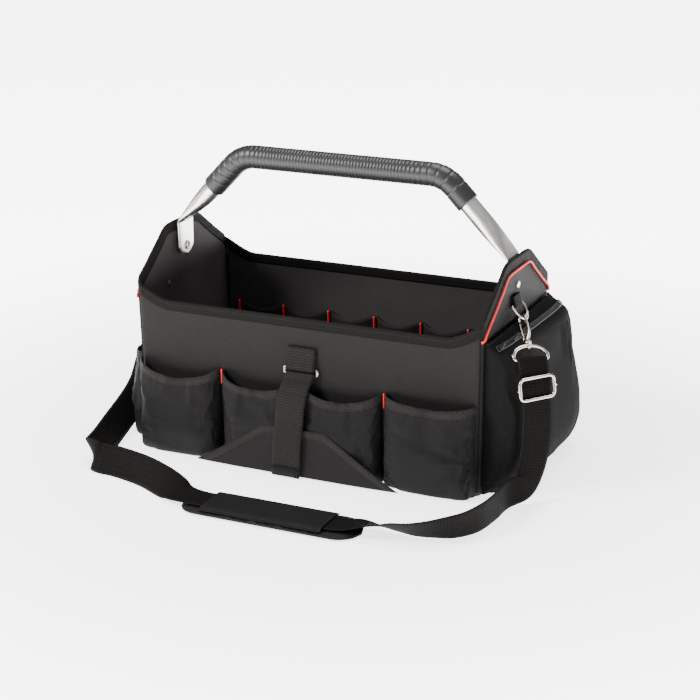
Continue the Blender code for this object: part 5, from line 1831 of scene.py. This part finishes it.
@dataclass
class EndRings:
    """Rings, hooks, strap loops and the slide."""

    walls: Walls
    anchor_width: float = 0.025
    top: float = 0.2345
    drop: float = 0.0125
    offset: float = -0.013
    cloth: float = 0.0018
    wire: float = 0.0017
    ring_width: float = 0.0315
    ring_drop: float = 0.0225
    hook_length: float = 0.058
    loop_width: float = 0.046
    loop_height: float = 0.0185

    def build(self) -> None:
        """Makes the ring webbing and the metal."""
        reach = self.wire + CLEARANCE + self.cloth / 2
        back = CLEARANCE + self.cloth / 2
        front = back + self.cloth + CLEARANCE
        bar = (back + reach, self.top - self.drop)
        route = [(front, self.top), (front, self.top - 0.001), (front, bar[1] + 0.010)]
        route += FrontStrap.wrap(bar, 0, -180, reach) + [(back, bar[1] + 0.004), (back, self.top - 0.001)]
        finish = Webbing("ring_webbing", stitches=(
            StitchRow(0.0014, 0.0026, True), StitchRow(0.0060, 0.0026, True),
            StitchRow(0.0016), StitchRow(0.0234))).make()
        for side, node in ((Side.LEFT, "left_ring_webbing"), (Side.RIGHT, "right_ring_webbing")):
            run = self.walls.frame_of(side)[0]
            stations = [(self.walls.at(side, self.offset * run.y, out, height), run) for out, height in route]
            piece = Bench.ribbon(node + "_cloth", stations, self.anchor_width, self.cloth, finish, 8)
            Bench.stand_for(piece, Slot.WEBBING, Body.BAG, node)
        nickel = Metal("ring_nickel", (0.46, 0.42, 0.36), (0.74, 0.69, 0.61), 0.24, 0.00002).make()
        brass = Metal("hook_nickel", (0.48, 0.42, 0.34), (0.76, 0.69, 0.59), 0.23, 0.00003).make()
        for side, end in ((Side.LEFT, LEFT_END), (Side.RIGHT, RIGHT_END)):
            self.make_ring(side, bar, nickel)
            self.make_hook(side, end, brass)
            self.make_loop(side, end, nickel)
        self.make_slide(nickel)

    def bow_point(self, side: Side, bar: tuple[float, float], swing_deg: float) -> Vector:
        """A point of the bow of a D-ring.

        Args:
            side: The end of the tote.
            bar: Out and height of its straight bar.
            swing_deg: The angle from the front end of the bar.

        Returns:
            The point.
        """
        run, face, _, _ = self.walls.frame_of(side)
        lift, swing = math.radians(35.0), math.radians(swing_deg)
        down = face * math.sin(lift) - Vector((0, 0, math.cos(lift)))
        front = run * (-1 if run.y > 0 else 1) * self.ring_width / 2
        centre = self.walls.at(side, self.offset * run.y, *bar)
        return centre + front * math.cos(swing) + down * self.ring_drop * math.sin(swing) ** 0.8

    def make_ring(self, side: Side, bar: tuple[float, float], finish: bpy.types.Material) -> None:
        """A D-ring of smooth wire.

        Args:
            side: The end of the tote.
            bar: Out and height of its bar.
            finish: Its material.
        """
        swings = [180 * smooth_step(0, 1, smooth_step(0, 1, share)) for share in shares(40)]
        points = [self.bow_point(side, bar, swing) for swing in swings]
        points += [points[-1].lerp(points[0], step / 12) for step in range(1, 12)]
        points = Bench.rounded(points, 3)
        piece = Bench.cord("%s_d_ring_wire" % side.value, points, self.wire, finish, closed=True, sides=14)
        Bench.stand_for(piece, Slot.NICKEL, Body.BAG, "%s_d_ring" % side.value)

    def make_hook(self, side: Side, end: "StrapEnd", finish: bpy.types.Material) -> None:
        """A snap hook with a knurled swivel barrel, and its spring gate.

        Args:
            side: The end of the tote.
            end: Where the strap hangs.
            finish: Its material.
        """
        swing = 50.0 if side is Side.RIGHT else 90.0
        reach = self.wire + CLEARANCE + self.cloth / 2
        bar = (CLEARANCE + self.cloth / 2 + reach, self.top - self.drop)
        ahead, behind = self.bow_point(side, bar, swing + 1), self.bow_point(side, bar, swing - 1)
        seat, run = self.bow_point(side, bar, swing), (ahead - behind).normalized()
        down = end.hook_down.normalized()
        facing = (down * run.dot(down) - run).normalized()
        sideways = facing.cross(down).normalized()
        swivel = seat + down * self.hook_length
        foot, wide, wire = 0.0032, 0.0052, 0.0021
        top = foot + 0.009
        bow = self.hook_length + self.wire + 0.0009 + wire
        barrel = ((-0.0048, 0.0010, 0), (-0.0046, 0.0018, 0), (-0.0034, 0.0019, 0), (-0.0032, 0.0010, 0),
                  (foot, 0.0010, 0), (foot + 0.0002, 0.0036, 0), (foot + 0.0012, 0.0045, 0),
                  (foot + 0.0016, 0.0045, 0.06), (foot + 0.0044, 0.0045, 0.06), (foot + 0.0048, 0.0039, 0),
                  (foot + 0.0056, 0.0039, 0), (foot + 0.0060, 0.0043, 0.05), (top - 0.0006, 0.0040, 0.05))
        rows = [(0, *section) for section in barrel]
        arm = [(0.0004, top + 0.0004, 0.0031), (0.0022, top + 0.004, 0.0027),
               (wide * 0.85, top + 0.009, 0.0025), (wide, top + 0.016, 0.0024), (wide, bow - 0.016, wire),
               (wide, bow - wide - 0.003, wire)]
        for angle in range(0, 176, 25):
            turn = math.radians(angle)
            arm.append((wide * math.cos(turn), bow - wide + wide * math.sin(turn), wire))
        arm.append((-wide, bow - wide - 0.0015, wire * 0.9))
        if side is Side.LEFT:
            arm += [(-wide, bow - wide - 0.006, 0.0013), (-0.0042, top + 0.003, 0.0013)]
        rows += [(across, along, radius, 0) for across, along, radius in catmull(arm, 4)]
        stations = [(swivel + sideways * across - down * along, radius, radius * 0.9, knurl)
                    for across, along, radius, knurl in rows]
        piece = Bench.swept("%s_snap_hook_metal" % side.value, stations, facing, finish)
        Bench.stand_for(piece, Slot.NICKEL, Body.BAG, "%s_snap_hook" % side.value)
        if side is Side.RIGHT:
            pivot, tip = (-0.0045, top + 0.0009), (-wide, bow - wide - 0.0047)
            points = [swivel + sideways * mix(pivot[0], tip[0], share) - down * mix(pivot[1], tip[1], share)
                      for share in shares(8)]
            piece = Bench.cord("hook_gate_wire", points, 0.0014, finish)
            Bench.stand_for(piece, Slot.NICKEL, Body.GATE, "hook_gate")

    def make_loop(self, side: Side, end: "StrapEnd", finish: bpy.types.Material) -> None:
        """The flat-bottomed loop that carries the strap.

        Args:
            side: The end of the tote.
            end: Where the strap hangs.
            finish: Its material.
        """
        down = (end.first_spot - end.swivel).normalized()
        across = (end.first_across - down * end.first_across.dot(down)).normalized()
        half = self.loop_width / 2
        points = []
        for step in range(45):
            turn = math.pi * step / 44
            points.append(end.swivel + across * half * math.cos(turn)
                          + down * self.loop_height * (1 - math.sin(turn) ** 0.75))
        points += [points[-1].lerp(points[0], step / 14) for step in range(1, 14)]
        points = Bench.rounded(points, 3)
        piece = Bench.cord("%s_strap_loop_wire" % side.value, points, 0.0021, finish, closed=True, sides=14)
        Bench.stand_for(piece, Slot.NICKEL, Body.BAG, "%s_strap_loop" % side.value)

    def make_slide(self, finish: bpy.types.Material) -> None:
        """The rectangular slide, with the ends of its middle bar.

        Args:
            finish: Its material.
        """
        spots = [Vector(ShoulderStrap(self.walls).hang(1, row)[:3]) for row in HANG_RIGHT[:3]]
        across = Vector(ShoulderStrap(self.walls).hang(1, HANG_RIGHT[1])[3:])
        down = (spots[2] - spots[0]).normalized()
        facing = across.cross(down).normalized()
        facing = facing if facing.dot(Vector((1, -1, 0))) > 0 else -facing
        centre = spots[1] + facing * (0.0018 + self.cloth / 2 + 0.0003)
        half, tall, corner = self.loop_width / 2, 0.013, 0.006
        points = []
        for sx, sz, start in ((1, 1, 0), (-1, 1, 90), (-1, -1, 180), (1, -1, 270)):
            for angle in range(start, start + 91, 15):
                turn = math.radians(angle)
                points.append(centre + across * (sx * (half - corner) + corner * math.cos(turn))
                              - down * (sz * (tall - corner) + corner * math.sin(turn)))
        piece = Bench.cord("adjuster_slide_wire", points, 0.0020, finish, closed=True, sides=14)
        Bench.stand_for(piece, Slot.NICKEL, Body.BAG, "adjuster_slide")
        for name, sign in (("front", -1), ("back", 1)):
            nub = [centre + across * sign * (half + out) for out in (0.0, 0.0024, 0.0031, 0.0035)]
            piece = Bench.cord("slide_%s_nub" % name, nub, 0.0013, finish, sides=10)
            Bench.stand_for(piece, Slot.NICKEL, Body.BAG)


@dataclass(frozen=True)
class StrapEnd:
    """Where an end of the shoulder strap hangs."""

    swivel: Vector
    hook_down: Vector
    first_spot: Vector
    first_across: Vector


HANG_RIGHT = ((1.220, -0.757, 0.790, 48, 2), (1.29, -0.800, 0.730, 48, 2), (1.36, -0.830, 0.570, 46, 0),
              (1.36, -0.850, 0.393, 45, -4), (1.28, -0.900, 0.215, 50, -30), (1.20, -0.985, 0.125, 62, -62))
HANG_LEFT = ((1.12, -0.480, 0.145, 182, 46), (1.11, -0.250, 0.235, 200, 36), (1.06, -0.145, 0.37, 228, 14),
             (0.98, -0.112, 0.50, 262, 0))
RIGHT_END = StrapEnd(Vector((0.2845, -0.0716, 0.1899)), Vector((0.462, -0.836, -0.297)),
                     Vector((0.3010, -0.0916, 0.1584)), direction(48, 2))
LEFT_END = StrapEnd(Vector((-0.2799, -0.0130, 0.1490)), Vector((-0.34, 0.0, -0.94)),
                    Vector((-0.2890, -0.0136, 0.1002)), direction(262, 0))
FLOOR_ROUTE = ((1.195, 0.110, 0.00, 90, -84), (1.190, 0.350, 0.00, 150, -86), (1.168, 0.610, 0.00, 175, -82),
               (1.100, 0.800, 0.00, 145, -70), (1.000, 0.895, 0.00, 107, -56), (0.893, 0.950, 0.01, 96, -45),
               (0.800, 0.955, 0.04, 91, -37), (0.700, 0.965, 0.14, 90, -20), (0.610, 0.970, 0.22, 90, -5))
FLOOR_LEFT = ((-0.385, 0.965, 0.15, 88, 6), (-0.460, 0.930, 0.04, 86, 30), (-0.560, 0.880, 0.00, 84, 52),
              (-0.700, 0.800, 0.00, 82, 62), (-0.880, 0.730, 0.00, 86, 62), (-0.985, 0.715, 0.00, 100, 60),
              (-1.045, 0.685, 0.00, 132, 55), (-1.085, 0.600, 0.00, 160, 50), (-1.125, 0.350, 0.02, 174, 47),
              (-1.180, 0.060, 0.05, 178, 46))


@dataclass
class ShoulderStrap:
    """The webbing from the right loop over the floor to the left loop, and its pad."""

    walls: Walls
    width: float = 0.040
    cloth: float = 0.0018
    out: float = 0.050
    tall: float = 0.2005
    reach: float = 0.160
    loop_height: float = 0.0185
    loop_wire: float = 0.002
    pad_left: float = -0.088
    pad_length: float = 0.241
    pad_width: float = 0.062
    pad_height: float = 0.007

    def build(self) -> None:
        """Makes the strap, the pad and the pad's cover."""
        self.make_strap()
        self.make_pad()

    def hang(self, sign: int, row: Sequence[float]) -> list[float]:
        """Centre and edge-to-edge direction of a hanging row.

        Args:
            sign: 1 at the right end, -1 at the left.
            row: Out, share of the depth, rise, heading and climb.

        Returns:
            Six numbers.
        """
        out, share, rise, heading, climb = row
        return [sign * (self.walls.half_length + out * self.out), share * self.walls.half_depth,
                rise * self.tall, *direction(heading, climb)]

    def standing(self, across: Vector) -> float:
        """Height of the middle of a strap whose lower edge touches the floor."""
        return abs(across.z) * self.width / 2 + math.hypot(across.x, across.y) * self.cloth / 2 + 0.0003

    def floor(self, row: Sequence[float]) -> list[float]:
        """Centre and edge-to-edge direction of a row on the floor.

        Args:
            row: Along, reach, rise, heading and climb.

        Returns:
            Six numbers.
        """
        along, reach, rise, heading, climb = row
        across = direction(heading, climb)
        return [along * self.walls.half_length, -self.walls.half_depth - reach * self.reach,
                rise * self.width + self.standing(across), *across]

    def pad_ends(self) -> tuple[Vector, Vector, float]:
        """Ends of the pad's long axis, and the height of the strap over it.

        Returns:
            Both ends and the height.
        """
        y = -self.walls.half_depth - 0.985 * self.reach
        height = self.pad_height + 0.0009 + self.cloth / 2
        return Vector((self.pad_left, y, 0)), Vector((self.pad_left + self.pad_length, y, 0)), height

    def loop_end(self, end: StrapEnd, outward_hint: Vector) -> list[tuple[Vector, Vector]]:
        """The end of the strap around its loop.

        Args:
            end: Where it hangs.
            outward_hint: The way that the wall faces.

        Returns:
            Stations from the tail behind to the front layer.
        """
        down = (end.first_spot - end.swivel).normalized()
        across = end.first_across
        across = (across - down * across.dot(down)).normalized()
        bar = end.swivel + down * self.loop_height
        outward = across.cross(down)
        outward = outward if outward.dot(outward_hint) > 0 else -outward
        reach = self.loop_wire + CLEARANCE + self.cloth / 2
        tail = bar + down * 0.016 - outward * (self.cloth + CLEARANCE) * 0.8
        turn = [bar + (down * math.sin(math.radians(a)) - outward * math.cos(math.radians(a))) * reach
                for a in (20, 0, -22, -45, -67, -90, -112, -135, -157, -180)]
        return [(point, across) for point in [tail] + turn]

    def make_strap(self) -> None:
        """The strap."""
        left_end, right_end, height = self.pad_ends()
        rows = [self.hang(1, row) for row in HANG_RIGHT] + [self.floor(row) for row in FLOOR_ROUTE]
        for share in (0.88, 0.70, 0.50, 0.30, 0.12):
            spot = left_end.lerp(right_end, share)
            rows.append([spot.x, spot.y, height, *direction(90, 0)])
        rows += [self.floor(row) for row in FLOOR_LEFT] + [self.hang(-1, row) for row in HANG_LEFT]
        smooth = catmull(rows, 10)
        centres = [Vector(row[:3]) for row in smooth]
        stations = []
        for row, centre, tangent in zip(smooth, centres, tangents(centres)):
            across = Vector(row[3:])
            across = (across - tangent * across.dot(tangent)).normalized()
            stations.append((Vector((centre.x, centre.y, max(centre.z, self.standing(across)))), across))
        stations = self.loop_end(RIGHT_END, Vector((1, 0, 0))) + stations
        stations += self.loop_end(LEFT_END, Vector((-1, 0, 0)))[::-1]
        finish = Webbing("shoulder_webbing", stitches=(StitchRow(0.0016, 0.003), StitchRow(0.0384, 0.003)))
        piece = Bench.ribbon("shoulder_strap_webbing", stations, self.width, self.cloth, finish.make(), 10)
        Bench.stand_for(piece, Slot.WEBBING, Body.BAG, "shoulder_strap")

    def make_pad(self) -> None:
        """The padded rest, and the cover that holds the strap on it."""
        left_end, right_end, height = self.pad_ends()
        rows = []
        for share in shares(60):
            edge = min(share, 1 - share)
            round_end = math.sqrt(max(1 - (1 - min(edge / 0.13, 1.0)) ** 2.4, 0.0))
            wide = self.pad_width / 2 * max(round_end, 0.10)
            thick = self.pad_height * mix(0.45, 1.0, smooth_step(0.0, 0.05, edge))
            centre = left_end.lerp(right_end, share)
            row = []
            for turn in turns(28):
                across, rise = power(math.cos(turn), 0.45), power(math.sin(turn), 0.55)
                crown = 0.0 if rise < 0 else ripple(share * 9.0, across * 2.0, 51.0) * 0.0005
                row.append(centre + Vector((0, wide * across, thick / 2 + thick / 2 * rise + crown * rise)))
            rows.append(row)
        cloth = WovenCloth("pad_cloth").make()
        piece = Bench.grid("shoulder_pad_cushion", rows, cloth, closed=True, capped=True)

        def pinned(index: int) -> float:
            """How firmly the floor and the seam hold a point.

            Args:
                index: The point's number.

            Returns:
                0 if free, 1 if fixed.
            """
            spot = piece.data.vertices[index].co
            return 1.0 if spot.z < 0.0035 else 0.15

        Bench.soften(piece, pinned, slack=0.02, reach=0.0012, pressure=1.5)
        Bench.stand_for(piece, Slot.CLOTH, Body.BAG, "shoulder_pad")
        start, length, foot = -0.053, 0.165, self.pad_height + 0.0003
        crown = height + self.cloth / 2 + 0.0006
        rows = []
        for step in range(37):
            x = start + length * step / 36
            row = []
            for index in range(33):
                across = (index / 16 - 1) * 0.96
                rise = 1 - smooth_step(0.72, 0.90, abs(across))
                wave = ripple(x * 30.0, across * 2.5, 61.0) * 0.0003
                row.append(Vector((x, left_end.y + self.pad_width / 2 * across,
                                   mix(foot, crown, rise) + 0.0012 + wave)))
            rows.append(row)
        finish = WovenCloth("pad_cover_cloth", (0.0034, 0.0034, 0.0036), (0.0115, 0.0112, 0.0118),
                            stitches=(StitchRow(0.0025), StitchRow(0.0605), StitchRow(0.0040, upright=True),
                                      StitchRow(0.1610, upright=True))).make()
        piece = Bench.sheet("shoulder_pad_cover_cloth", rows, 0.0016, finish, offset=1.0, rounded=True)
        Bench.stand_for(piece, Slot.CLOTH, Body.BAG, "shoulder_pad_cover")


@dataclass
class Studio:
    """Camera, floor and lights."""

    azimuth: float = 25.503
    elevation: float = 19.169
    roll: float = -0.842
    focal: float = 1855.43
    distance: float = 2.5066
    aim_right: float = 0.00624
    aim_up: float = 0.1159

    def build(self) -> None:
        """Sets up the studio."""
        self.place_camera()
        self.place_floor()
        self.place_lights()

    def place_camera(self) -> None:
        """The camera at the photograph's viewing angle."""
        turn, lift, roll = (math.radians(angle) for angle in (self.azimuth, self.elevation, self.roll))
        back = Vector((math.sin(turn) * math.cos(lift), -math.cos(turn) * math.cos(lift), math.sin(lift)))
        right = Vector((math.cos(turn), math.sin(turn), 0))
        up = back.cross(right)
        rolled = right * math.cos(roll) + up * math.sin(roll)
        upright = up * math.cos(roll) - right * math.sin(roll)
        eye = rolled * self.aim_right + upright * self.aim_up + back * self.distance
        camera = bpy.data.cameras.new("photo_camera")
        camera.sensor_width = SENSOR_WIDTH
        camera.lens = self.focal / PHOTO_WIDTH * camera.sensor_width
        camera.clip_end = CAMERA_REACH
        item = bpy.data.objects.new("photo_camera", camera)
        turned = Matrix((rolled, upright, back)).transposed().to_4x4()
        item.matrix_world = Matrix.Translation(eye) @ turned
        bpy.context.scene.collection.objects.link(item)
        bpy.context.scene.camera = item

    def place_floor(self) -> None:
        """The pale floor."""
        ends = (-FLOOR_HALF_SIZE, FLOOR_HALF_SIZE)
        corners = [Vector((x, y, -0.0004)) for y in ends for x in ends]
        floor = Bench.grid("studio_floor", [corners[:2], corners[2:]], Backdrop().make())

    def place_lights(self) -> None:
        """Soft lights above and to the sides."""
        world = bpy.data.worlds.new("studio_world")
        world.use_nodes = True
        back = world.node_tree.nodes["Background"]
        back.inputs["Color"].default_value = (1.0, 1.0, 1.0, 1.0)
        back.inputs["Strength"].default_value = WORLD_STRENGTH
        bpy.context.scene.world = world
        for name, spot, size, power_w in LIGHTS:
            lamp = bpy.data.lights.new(name + "_light", "AREA")
            lamp.size = size
            lamp.energy = power_w
            item = bpy.data.objects.new(name + "_light", lamp)
            item.location = spot
            item.rotation_euler = (LIGHT_AIM - Vector(spot)).to_track_quat("-Z", "Y").to_euler()
            bpy.context.scene.collection.objects.link(item)


def main() -> None:
    """Builds the studio and the tote."""
    logging.basicConfig(level=logging.INFO, format="%(name)s %(message)s")
    walls = Walls()
    Studio().build()
    for part in (ClothBody(walls), Handle(walls), FrontPockets(walls), InnerRow(walls), EndPockets(walls),
                 FrontStrap(walls), EndRings(walls), ShoulderStrap(walls)):
        part.build()
        LOG.info("%s done", type(part).__name__)


if __name__ == "__main__":
    main()
    bpy.context.view_layer.update()
